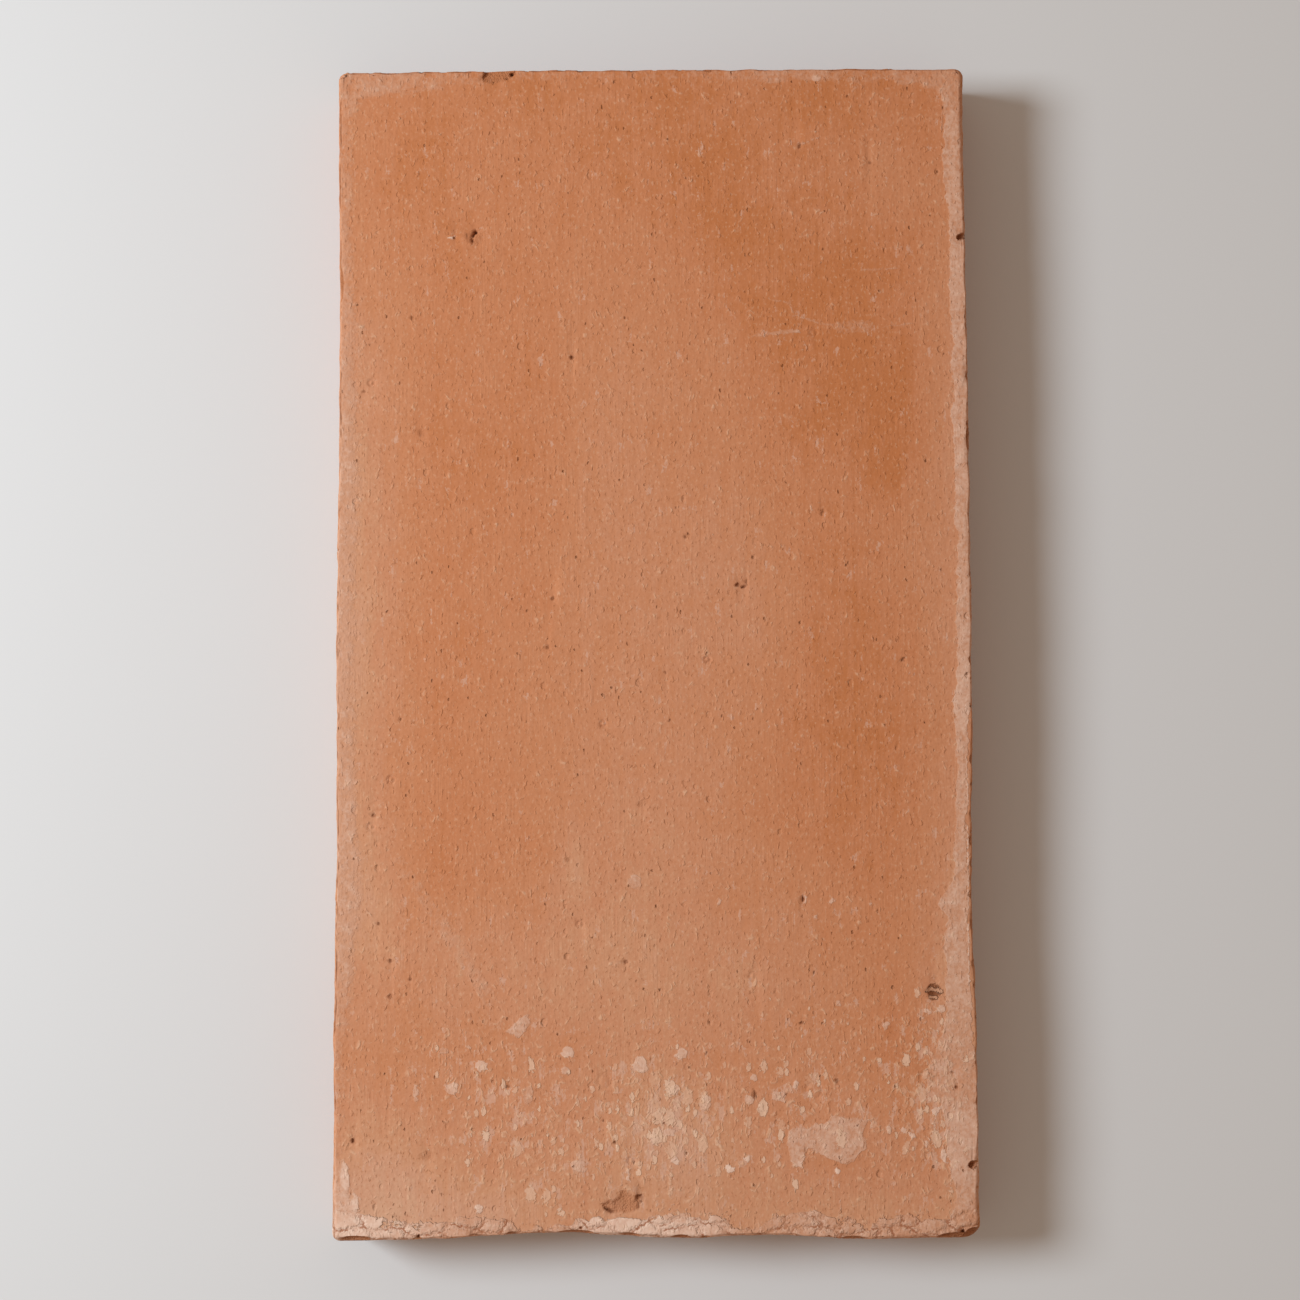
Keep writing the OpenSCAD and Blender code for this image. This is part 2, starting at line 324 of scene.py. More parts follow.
# Pits: (x, y, half sizes and depth in mm, turn in degrees)
PITS = [
    (-60.6, 140.6, (3.2, 3.0, 0.55), 0), (-60.7, 142.3, (0.9, 0.8, 2.6), 0),
    (-61.5, 141.2, (0.5, 0.9, 2.4), -20), (-61.9, 139.6, (0.4, 1.5, 2.2), 4),
    (-63.5, 140.4, (0.35, 1.9, 0.6), 8), (-68, 140.3, (0.5, 0.6, 0.9), 0),
    (102.2, -197.2, (0.8, 1.3, 2.6), 0), (-48.2, 197.9, (1.0, 0.8, 3.0), 30),
    (-50, 196, (0.6, 0.5, 1.2), 0), (93.5, -117.5, (2.4, 2.9, 1.5), 15),
    (-27.7, 98.6, (0.9, 0.9, 1.5), 0), (28.6, 20.0, (1.0, 0.9, 1.3), 0),
    (30.6, 19.4, (1.3, 0.6, 1.1), 20), (31.4, 21.0, (0.5, 1.0, 0.8), 0),
    (10.8, 36.6, (0.5, 0.8, 0.8), 20), (11.8, 37.4, (0.4, 0.7, 0.7), 20),
    (3.8, -9.6, (0.5, 0.6, 0.8), 0), (84.4, -5.6, (0.5, 1.3, 0.8), -40),
    (-99, 87.0, (0.6, 0.5, 0.7), 0), (57.4, 44.5, (0.4, 1.5, 0.6), -20),
    (-36.1, -1.0, (0.5, 1.1, 0.8), 0), (-94.8, -57.6, (0.8, 0.8, 0.9), 0),
    (-101.2, -166.2, (0.7, 1.0, 1.3), 20), (50.9, 172.0, (0.5, 1.3, 0.9), -12),
    (-34.4, 15.6, (0.5, 1.0, 0.8), 0), (-82.6, 112.6, (0.5, 1.0, 0.8), 0),
    (33.1, -151.4, (0.5, 1.7, 1.0), 0), (75, 166.0, (0.5, 0.9, 0.7), 10),
    (-93, -94.0, (0.6, 0.6, 0.9), 0), (-89.1, -106.4, (0.6, 0.8, 1.0), 0),
    (-82.3, -112.8, (0.6, 0.6, 0.9), 0), (-89, -118.4, (0.8, 1.0, 0.8), 0),
    (-9.9, -107.1, (0.8, 0.8, 1.0), 0), (49.8, -86.3, (0.5, 1.4, 0.9), 0),
    (48.9, -127.7, (0.8, 0.6, 0.9), 20), (-13.7, -167.0, (0.6, 0.7, 1.0), 0),
    (-17.5, -159.9, (0.5, 0.5, 0.8), 0), (-49.6, -148.4, (1.3, 0.4, 0.6), 8),
    (99.2, -144.3, (0.6, 0.6, 0.8), 0), (100.6, -149.2, (0.5, 0.6, 0.8), 0),
    (-76.6, -171.0, (2.1, 1.8, 0.4), 0), (-79.2, -198.0, (0.6, 1.1, 1.5), 0),
    (-25, -195.1, (0.6, 0.6, 1.0), 0), (60.7, -147.0, (0.6, 1.1, 0.8), 10),
    (-29.2, -73.0, (0.9, 0.9, 0.5), 0), (-79.2, 72.5, (1.2, 1.5, 0.5), 20),
    (-4.5, -54.2, (1.3, 1.2, 0.4), 0),
]
# Rings, where a lime grain swelled and popped its cap: (x, y, radius, depth)
RINGS = [
    (-89, -45.7, 1.1, 0.7), (-17.2, -27.0, 0.9, 0.6), (18.1, -5.3, 0.9, 0.7), (-95.7, -61.5, 1.0, 0.6),
    (-96.2, 90.0, 1.0, 0.6), (-25.2, -94.5, 1.0, 0.6), (32.8, -112.0, 1.1, 0.5),
    (55.2, 106.8, 1.0, 0.5), (-8.2, -173.0, 1.0, 0.6), (53.0, -150.0, 2.6, 0.35),
    (-17.2, -147.0, 2.2, 0.3), (91, -146, 2.4, 0.3),
]
# The chip in the upper edge, anticlockwise: (x, y, steepness of the wall in from the side that starts here)
UPPER_CHIP = [
    (-58.7, 194.8, 0.5), (-54.6, 193.9, 0.35), (-50.6, 195.2, 0.7), (-46.9, 197.4, 1.6),
    (-46.9, 203, 9), (-57.3, 203, 3.2),
]
# The spall's ragged outline, where a skin of clay flaked off near the lower end, also anticlockwise
SPALL = [
    (-18.8, -187.6), (-17.0, -189.0), (-15.4, -190.2), (-12.9, -190.3), (-10.7, -189.9), (-7.1, -190.2),
    (-5.7, -188.3), (-4.1, -186.3), (-4.6, -184.2), (-7.1, -184.7), (-8.4, -183.6), (-9.8, -182.2),
    (-12.0, -182.7), (-13.6, -185.1), (-17.0, -185.8),
]
# Nicks that stand out on the face's edges: (side, place along it, half length, reach in mm)
NICKS = [
    (0, 75, 1.6, 1.0), (0, 62, 1.0, 0.8), (0, 38, 0.9, 0.8), (0, 18, 0.8, 0.9), (0, -28, 0.8, 0.8),
    (0, -48, 1.0, 0.8), (0, -64, 0.9, 0.8), (0, -85, 1.2, 1.0), (0, -93.5, 1.0, 1.2),
    (0, -108, 0.9, 0.8), (0, -126, 1.0, 0.8), (0, -141, 1.2, 1.0), (0, -156, 0.8, 0.8),
    (0, 110, 0.9, 0.8), (0, 158, 0.9, 0.7), (0, 176, 1.1, 0.8), (0, 96, 0.7, 0.7), (0, 3, 0.8, 0.6),
    (0, -186, 1.4, 1.0), (2, 56, 0.8, 0.7), (2, 53, 0.6, 0.6), (2, 33, 0.8, 0.7), (2, 25.5, 0.9, 0.7),
    (2, 16.5, 0.7, 0.6), (2, 13.5, 0.6, 0.6), (2, 5.5, 0.7, 0.6), (2, -10, 0.7, 0.7),
    (2, -42, 0.8, 0.7), (2, -53, 1.4, 0.6), (2, -113, 0.8, 0.7), (2, -118, 0.7, 0.6),
    (2, -126, 0.8, 0.6), (2, -163, 1.0, 0.8), (2, -180, 0.9, 0.8), (1, 9.8, 1.0, 0.8),
    (1, 28.8, 0.8, 0.7), (1, 38, 2.4, 0.6), (1, 82, 0.7, 0.7), (1, -88, 1.6, 0.5), (3, -79, 0.7, 1.2),
    (3, 21, 0.8, 1.0), (3, 44, 1.2, 0.8), (3, 83, 1.4, 1.0), (3, -48, 1.4, 0.7),
]


# Points inside a rough scoop go one way to its far wall. The middle is on the face unless lowered.
def scoop(points, middle, size, turn, way, rough, seed, fresh=1.0, dirt_and_shade_level=0.0):
    reach = 1.3 * max(size)  # mm, past which nothing moves
    near = np.flatnonzero(np.abs(points[:, 0] - middle[0]) < reach)
    near = near[(np.abs(points[near] - middle) < reach).all(1)]
    cosine, sine = math.cos(math.radians(turn)), math.sin(math.radians(turn))
    to_unit_ball = np.array([(cosine, -sine, 0), (sine, cosine, 0), (0, 0, 1)]) / size
    way = np.array(way) / np.linalg.norm(way)
    local = (points[near] - middle) @ to_unit_ball
    step = way @ to_unit_ball
    # How far it is to the far wall is the larger root of a quadratic.
    a, b, inside = step @ step, local @ step, (local ** 2).sum(1) - 1
    near, b, inside = near[inside < 0], b[inside < 0], inside[inside < 0]
    far = (-b + np.sqrt(b * b - a * inside)) / a
    wall = points[near] + way * far[:, None]
    ragged = cloud(wall, 2.4, seed, smooth=False) + 0.7 * cloud(wall, 1.2, seed + 1, smooth=False)
    points[near] += way * (far * (1 + rough * ragged))[:, None]
    broken[near] = np.maximum(broken[near], fresh * np.minimum(1, far / 0.4))
    # The deep part of a scoop is painted darker, with dirt and the shade that falls there.
    dirt_and_shade[near] = np.maximum(dirt_and_shade[near], dirt_and_shade_level * rise(far / size[2], 0.25, 0.8))


# Signed distance in mm from an outline, less than 0 inside it
def outline_distance(places, outline):
    outline = np.array(outline)
    far, inside = np.full(len(places), 1e9), np.zeros(len(places), bool)
    for a, b in zip(outline, np.roll(outline, -1, 0)):
        edge, away = b - a, places - a
        share = np.clip(away @ edge / (edge @ edge), 0, 1)
        far = np.minimum(far, np.linalg.norm(away - share[:, None] * edge, axis=1))
        crosses = (a[1] > places[:, 1]) != (b[1] > places[:, 1])
        inside ^= crosses & (away[:, 0] < away[:, 1] * edge[0] / (edge[1] or 1e-9))
    return np.where(inside, -far, far)


# A chip with flat walls that meet in creases, one wall in from each side of its outline
def chip(points, outline, deepest, seed):
    middle = np.mean(outline, 0)[:2]
    around_it = (np.abs(points[:, :2] - middle) < 14).all(1)
    near = np.flatnonzero(around_it & (points[:, 2] > thick - 8))
    place = points[near, :2] + 0.3 * np.stack([cloud(points[near], 1.6, seed + k) for k in (0, 1)], 1)
    depth, steepest = np.full(len(near), deepest), np.zeros(len(near))
    for (x1, y1, steep), (x2, y2, _) in zip(outline, outline[1:] + outline[:1]):
        run = np.array([x2 - x1, y2 - y1]) / math.hypot(x2 - x1, y2 - y1)
        wall = steep * (run[0] * (place[:, 1] - y1) - run[1] * (place[:, 0] - x1))
        steepest = np.where(wall < depth, steep, steepest)
        depth = np.minimum(depth, wall)
    cut = depth > 0
    lowered = np.minimum(points[near, 2], thick - sunk - depth)
    points[near, 2] = np.where(cut, lowered, points[near, 2])
    broken[near] = np.maximum(broken[near], cut * np.minimum(1, depth / 0.3) * 0.8)
    # Dirt and painted shade sit at the foot of the steeper walls.
    dirt_and_shade_at_foot = cut * (steepest > 1.2) * (steepest < 5)
    dirt_and_shade[near] = np.maximum(dirt_and_shade[near], dirt_and_shade_at_foot * 0.5 * np.minimum(1, depth / 0.5))


# A skin of clay that flaked off at one place: a low rough floor inside its outline
def spall(points):
    middle = (-11.3, -186.5)
    near = np.flatnonzero((np.abs(points[:, :2] - middle) < 12).all(1) & (points[:, 2] > 20))
    place = points[near]
    ragged = place[:, :2] + 0.7 * np.stack([cloud(place, 1.3, seed) for seed in (300, 301)], 1)
    inside = -outline_distance(ragged, SPALL)
    wall = 0.4 + 1.8 * rise(place[:, 1], -187.8, -185.8) * rise(-place[:, 0], 6, 8)
    rough = 0.75 + 0.3 * cloud(place, 2.0, 302, False) + 0.15 * cloud(place, 1.1, 303, False)
    depth = np.clip(inside / wall, 0, 1) * rough
    # It undercuts at the right and at the lower left, where dirt gathers and the undercut is painted dark
    # as shade.
    under_rim = rise(inside, 0.1, 0.4) * rise(-inside, -1.3, -0.7)
    at_right = rise(place[:, 0], -7.5, -5.5)
    at_lower_left = rise(-place[:, 0], 13.5, 15) * rise(-place[:, 1], 188, 189)
    gathers = at_right + at_lower_left
    depth += 0.5 * under_rim * gathers
    points[near, 2] -= depth
    broken[near] = np.maximum(broken[near], 0.62 * np.clip(depth / 0.3, 0, 1))
    dirt_and_shade[near] = np.maximum(dirt_and_shade[near], 0.75 * under_rim * np.minimum(1, gathers))


# All the broken places, pits, rings, the chip and the spall
def damage(points):
    face = thick - sunk
    for seed, (x, y, under, size, turn, way) in enumerate(BROKEN):
        scoop(points, (x, y, face - under), size, turn, way, 0.4, 100 + 2 * seed)
    chip(points, UPPER_CHIP, 2.3, 90)
    for seed, (x, y, size, turn) in enumerate(PITS):
        size = (*size[:2], 0.75 * size[2])
        # Deep, narrow pits are painted darker, with dirt and the shade that falls in them.
        dirt_and_shade_level = min(1, 0.5 * size[2] / min(size[:2]))
        scoop(points, (x, y, face), size, turn, (0, 0, -1), 0.35, 200 + 2 * seed, 0.3, dirt_and_shade_level)
    top = points[:, 2] > thick - 1.2
    for x, y, radius, depth in RINGS:
        away = np.hypot(points[:, 0] - x, points[:, 1] - y)
        points[:, 2] -= top * depth * np.exp(-((away - radius) / 0.3) ** 2)
    spall(points)


# Nicks in the face's edges: those that stand out, then smaller ones,
# more of them on the right and lower sides. Found: (station, half length, reach, depth, dirt and painted
# shade)
def nicks(points):
    rng = np.random.default_rng(7)
    draws = 260
    found = []
    for side, along, length, reach in NICKS:
        share = along / (half_l if side % 2 == 0 else half_w)
        found.append((side_stations(side, np.array([share]))[0], length, reach, 1.1, 0.8))
    for _ in range(draws):
        station = stations[rng.integers(around)]
        likely = 1 if station[3] < -0.5 or station[2] > 0.5 else 0.5
        if rng.random() < likely:
            length, reach = rng.uniform(0.5, 2.4), rng.uniform(0.3, 0.7 + 0.5 * likely)
            depth = rng.uniform(0.5, 1.8)
            # Deeper nicks are painted darker, with dirt and the shade in them.
            found.append((station, length, reach, depth, 0.6 * rise(depth, 1.0, 1.6)))
    for seed, (station, length, reach, depth, dirt_and_shade_level) in enumerate(found):
        x, y, out_x, out_y = station[:4]
        turn = math.degrees(math.atan2(out_x, -out_y)) + rng.normal(0, 12)
        middle = (x - 0.2 * out_x, y - 0.2 * out_y, thick - 0.4)
        size = (length, reach + 0.4, depth)
        scoop(points, middle, size, turn, (-out_x, -out_y, -0.8), 0.35, 400 + 2 * seed, 0.8, dirt_and_shade_level)


# How far each point lies in from one side's edge
def from_edge(points, side):
    edge = side_stations(side, np.linspace(-1, 1, 300))
    across, along = (0, 1) if side % 2 == 0 else (1, 0)
    order = np.argsort(edge[:, along])
    line = np.interp(points[:, along], edge[order, along], edge[order, across])
    return (line - points[:, across]) * (1 if side < 2 else -1)


# The strike pushed a thin lip of clay over the frame on the left and at the top,
# and a crease is left behind it: (side, mm in from the edge, depth in mm, how much dirt and painted shade)
CREASES = [(2, 1.3, 0.3, 0.5), (1, 1.0, 0.25, 0.45)]


def creases(points):
    strip = 6  # mm along those edges that are worked on
    at_edge = (points[:, 0] < strip - half_w) | (points[:, 1] > half_l - strip)
    near = np.flatnonzero(at_edge & (points[:, 2] > thick - 3))
    place = points[near]
    wavering = place[:, :2] + 0.3 * np.stack([cloud(place, 3, seed) for seed in (310, 311)], 1)
    comes_and_goes = cloud(place, (9, 9, 20), 312) + 0.7 * cloud(place, (2.2, 2.2, 5), 313)
    open_here = rise(comes_and_goes, -0.25, 0.35)
    for side, inland, deep, much in CREASES:
        inwards = from_edge(np.column_stack([wavering, place[:, 2]]), side)
        crease = np.exp(-((inwards - inland) / 0.3) ** 2) * open_here
        points[near, 2] -= deep * crease
        # The crease is painted darker, with dirt and the shade in it.
        dirt_and_shade[near] = np.maximum(dirt_and_shade[near], much * crease)


# ---- The lime on it, from wet joints, splashes and standing water ----
# It dried to a thin pale skin in from the edges, to patches with an outline, and to flakes and drips.
# Bands along the edges: (place along the side, how far in the band reaches, both in mm, how white)
FILM_RIGHT = [
    (-200, 12, 0.4), (-190, 9, 0.35), (-183, 9, 0.5), (-176, 10.5, 0.6), (-170, 11, 0.6),
    (-160, 12, 0.6), (-152, 15, 0.4), (-146, 19, 0.35), (-139, 15, 0.4), (-131, 12, 0.42),
    (-122, 10.5, 0.5), (-100, 10.5, 0.5), (-93, 9, 0.45), (-88, 12.5, 0.5), (-80, 7, 0.45),
    (-60, 6.5, 0.45), (-35, 6, 0.5), (-20, 6.5, 0.65), (-8, 6, 0.55), (15, 5.6, 0.5), (40, 5.5, 0.5),
    (75, 6, 0.55), (100, 6.3, 0.5), (135, 6.5, 0.5), (165, 7, 0.45), (180, 7.5, 0.45), (190, 8.5, 0.35),
    (200, 10, 0.2),
]
FILM_LEFT = [
    (-200, 20, 0.85), (-194, 14, 0.85), (-187, 7, 0.6), (-180, 5.5, 0.5), (-174, 3.5, 0.35),
    (-165, 3, 0.2), (-130, 4, 0.2), (-115, 7, 0.35), (-70, 8, 0.42), (-20, 6, 0.34), (40, 7, 0.36),
    (70, 7, 0.4), (130, 5, 0.26), (180, 4, 0.22), (200, 12, 0.3),
]
FILM_LOWER = [
    (-108, 8, 0.95), (-100, 8.5, 0.95), (-91, 6.5, 0.8), (-84, 4.5, 0.8), (-74, 6, 0.6), (-64, 8, 0.4),
    (-56, 6, 0.5), (-45, 4, 0.4), (-30, 4, 0.55), (-22, 5.5, 0.85), (-8, 6.5, 1), (4, 7.5, 0.95),
    (16, 8, 0.85), (24, 6.5, 0.55), (32, 4, 0.3), (44, 7, 0.4), (52, 10, 0.55), (60, 7, 0.45),
    (70, 6.5, 0.5), (82, 8, 0.4), (96, 8, 0.5), (108, 7, 0.5),
]
FILM_UPPER = [
    (-108, 14, 0.25), (-100, 10, 0.28), (-82, 8, 0.25), (-68, 6, 0.1), (-30, 4, 0.1), (20, 4, 0.12),
    (42, 5, 0.3), (62, 5.5, 0.26), (70, 5, 0.15), (92, 6, 0.25), (108, 14, 0.25),
]
# Where it starts, as (place along the side, how far in): one stretch of the right rim is rubbed bare.
RUBBED_RIGHT = [(-142, 0.2), (-134, 2.6), (-28, 2.6), (-18, 0.2)]
# Each band: its side, its run, where it starts, how softly and how raggedly it ends
BANDS = [
    (0, FILM_RIGHT, RUBBED_RIGHT, 0.9, 0.5), (2, FILM_LEFT, [(0, 0.3)], 4, 1.5),
    (3, FILM_LOWER, [(0, 0.2)], 1.2, 2.6), (1, FILM_UPPER, [(0, 0.6)], 2.5, 1.5),
]
# Patches that stayed where something stood: (outline, how white)
PATCHES = [
    ([(-50.8, -130), (-45.8, -126.3), (-42.2, -125), (-42.6, -129), (-44.7, -132.4), (-47.8, -131.4)], 0.5),
    ([(44.8, -163), (48.8, -163), (52.8, -161), (55.8, -161.5), (58.8, -158.7), (64.8, -159.2),
      (71.3, -160), (69.8, -162.5), (68.8, -165), (70.3, -167), (69.8, -169.5), (66.3, -173.5),
      (63.8, -175), (58.8, -173.5), (54.8, -172), (52.8, -170), (49.8, -171), (48.3, -174.5),
      (45.8, -175), (44.3, -168)], 0.5),
]
# Flakes: (x, y, half width, half length along Y, how white)
FLAKES = [
    (-58.2, -141, 2.2, 1.8, 0.7), (-68.2, -149, 2, 2.2, 0.6), (-80.2, -150.5, 1, 3, 0.5),
    (-71, -136.5, 1.6, 1, 0.5), (-62.7, -135.5, 1, 1, 0.5), (-29.2, -137, 1.8, 2, 0.7),
    (-30, -143, 1.8, 1.8, 0.6), (-43, -151.5, 1.8, 3, 0.4), (-5.2, -141, 2.2, 2.8, 0.7),
    (8.3, -138, 2, 2, 0.7), (6.8, -149.5, 2.2, 1.5, 0.7), (17.3, -154, 1.8, 2.2, 0.6),
    (32.6, -146, 1.4, 1.4, 0.7), (31.3, -153.5, 1.6, 1.8, 0.6), (35.3, -156, 1.2, 1.5, 0.6),
    (41.3, -152, 2.2, 1.5, 0.6), (46.8, -148.5, 0.8, 1.2, 0.8), (-0.7, -165.5, 1.5, 2, 0.8),
    (4.8, -164, 2, 1.5, 0.7), (6.3, -172.8, 1.6, 1.3, 0.9), (-25.7, -175, 3, 1.8, 0.6),
    (-9.2, -178, 0.6, 2.5, 0.8), (24.8, -175.7, 1.6, 1.5, 1), (30.6, -172.5, 1, 1.4, 0.9),
    (47.3, -173.5, 1.5, 2, 0.7), (60.3, -177.3, 0.7, 1, 1), (83.3, -164, 1.3, 1, 0.7),
    (86, -165.5, 1.2, 1, 0.8), (78.3, -163, 1.3, 1.5, 0.6), (93.6, -156.8, 1.3, 1.3, 1),
    (90.8, -168, 0.8, 1.2, 0.8), (96.3, -172, 1.2, 1.5, 0.9), (102.3, -177.5, 1.2, 1.2, 0.9),
    (91.1, -124, 1.3, 0.9, 0.7), (88.8, -126.5, 0.8, 0.8, 0.6), (77.1, -128.5, 1.2, 1, 0.6),
    (61.8, -121, 0.9, 0.7, 0.6), (58.8, -87.3, 1.2, 0.7, 0.7), (21.3, -87, 0.6, 1, 0.6),
    (50.5, -86.5, 0.7, 1.3, 0.7), (72.6, -88.2, 0.6, 0.6, 0.6), (53.3, -92.7, 0.6, 0.6, 0.6),
    (54.8, -105, 0.6, 0.9, 0.5), (95.8, -123.5, 1, 1.5, 0.7), (89.3, -134, 0.8, 0.8, 0.6),
    (-6.7, -80.5, 2.5, 2, 0.4), (-59.2, -188.5, 1.8, 1.5, 0.9), (-69.2, 140.3, 1.3, 0.7, 1),
    (42.8, 196, 1.6, 1.2, 0.5), (56.8, 196, 2.4, 1.2, 0.5), (-104, -178, 1.6, 5, 0.8),
    (-97, -193, 6, 2.2, 1), (-100.5, -187, 1.2, 4, 0.8), (-84, -195.4, 7, 1, 0.8),
    (-20, -194, 4, 1.6, 1), (6, -192.5, 5, 2, 0.7),
]
# Drips and scratches that left a pale line: (x, y, x, y, half width, how white)
LINES = [
    (40.8, 118, 45.8, 117.5, 0.3, 0.35), (46.8, 117, 48.2, 114, 0.25, 0.35),
    (48.2, 114, 50.8, 112.2, 0.3, 0.3), (50.8, 112.2, 56.8, 110, 0.35, 0.35),
    (56.8, 110, 62, 109.2, 0.3, 0.2), (70.8, 128.5, 84.8, 129, 0.3, 0.25),
    (34, 105.6, 41, 106.6, 0.4, 0.25), (41, 106.6, 48.5, 107.4, 0.7, 0.3),
    (48.6, 107.4, 50, 107.2, 0.5, 0.6), (51.8, 103.5, 53.3, 100.5, 0.3, 0.4),
    (64, 108.5, 74, 109, 2.2, 0.12), (78.8, 108.6, 88.8, 109.8, 0.35, 0.22),
    (50.9, 172.4, 57.8, 175, 0.3, 0.45), (32.3, 27, 32.8, 18, 0.2, 0.2),
    (69, 191, 73.5, 196, 0.25, 0.25), (70, 195.5, 73.5, 192, 0.25, 0.25),
    (-103.5, 112, -97.5, 108, 0.3, 0.25), (100.5, 187, 99.9, 178, 0.25, 0.35),
    (103, 187, 102.6, 178, 0.25, 0.35), (-86.2, -73, -70, -97, 2.0, 0.12),
    (-70, -97, -55.2, -120, 2.4, 0.16), (-102, -190, -84, -193.5, 0.5, 0.8),
    (-84, -193.5, -76, -194, 0.4, 0.7), (105.4, -132, 105.3, -95, 0.25, 1),
    (105.4, -90, 105.6, -62, 0.2, 0.9), (105.7, -55, 105.6, -22, 0.25, 0.8),
]


# Distance in mm from the nearest lime, less than 0 inside it, and how white that lime is
def lime(all_points):
    top = np.flatnonzero(all_points[:, 2] >= thick - 4)
    points = all_points[top]
    ragged = points[:, :2] + 0.9 * np.stack([cloud(points, (4, 6, 4), seed) for seed in (30, 31)], 1)
    ragged += 0.75 * np.stack([cloud(points, 1.4, seed) for seed in (32, 33)], 1)
    shapes = []
    torn = cloud(points, (5, 4, 4), 34) + 0.5 * cloud(points, (2.2, 1.8, 2), 35)
    for side, band, starts, soft, how_torn in BANDS:
        places, widths, whites = zip(*band)
        along = ragged[:, 1 - side % 2]
        inwards = from_edge(np.column_stack([ragged, points[:, 2]]), side)
        reach = np.interp(along, places, widths) + how_torn * torn
        start = np.interp(along, *zip(*starts))
        away = np.maximum((inwards - reach) / soft, 2 * (start - inwards))
        shapes.append((away, np.interp(along, places, whites)))
    for outline, white in PATCHES:
        shapes.append((outline_distance(ragged, outline), white))
    for x, y, wide, long, white in FLAKES:
        away = np.hypot((ragged[:, 0] - x) / wide, (ragged[:, 1] - y) / long) - 1
        shapes.append((away * min(wide, long), white))
    for x1, y1, x2, y2, half, white in LINES:
        run = np.array([x2 - x1, y2 - y1])
        from_start = points[:, :2] - (x1, y1)
        share = np.clip(from_start @ run / (run @ run), 0, 1)
        away = np.linalg.norm(from_start - share[:, None] * run, axis=1) - half
        shapes.append((away, white))
    far, white = np.full(len(points), 3.0), np.zeros(len(points))
    for away, how_white in shapes:
        white = np.where(away < far, how_white, white)
        far = np.minimum(far, away)
    all_far, all_white = np.full(len(all_points), 3.0), np.zeros(len(all_points))
    all_far[top], all_white[top] = np.maximum(far, -6), white
    return all_far, all_white


# ---- The slab worked up, from the mould to its worn state ----
# The even mesh takes on the surfaces, the damage and the lime's thickness, in that order.
# It stays inside the tile's box, and is one closed skin without loose pieces.
points, faces = moulded()
mesh = new_mesh("tile", points * MM, faces)
normals = np.zeros(points.size, np.float32)
mesh.vertex_normals.foreach_get("vector", normals)
normals = normals.reshape(-1, 3).astype(float)
arris_share = np.clip(1 - np.abs(2 * normals[:, 2] - 1.1), 0, 1) * (points[:, 2] > thick - 5)
points = clay_surface(points, normals)
broken, dirt_and_shade = np.zeros(len(points)), np.zeros(len(points))
damage(points)
nicks(points)
creases(points)
lime_away, lime_white = lime(points)
lime_white *= 1 - np.minimum(1, broken + dirt_and_shade)
lime_height = 0.1  # mm, of the whitest lime
points[:, 2] += lime_height * rise(-lime_away, -0.1, 0.3) * lime_white * (normals[:, 2] > 0.9)
spare = 0.01       # mm inside the box on every side, which the thinning out may use up
points = np.clip(points, np.array(low) / MM + spare, np.array(high) / MM - spare)
mesh.vertices.foreach_set("co", (points * MM).astype(np.float32).ravel())
mesh.update()

tile = bpy.data.objects.new("fired_tile", mesh)
bpy.context.scene.collection.objects.link(tile)

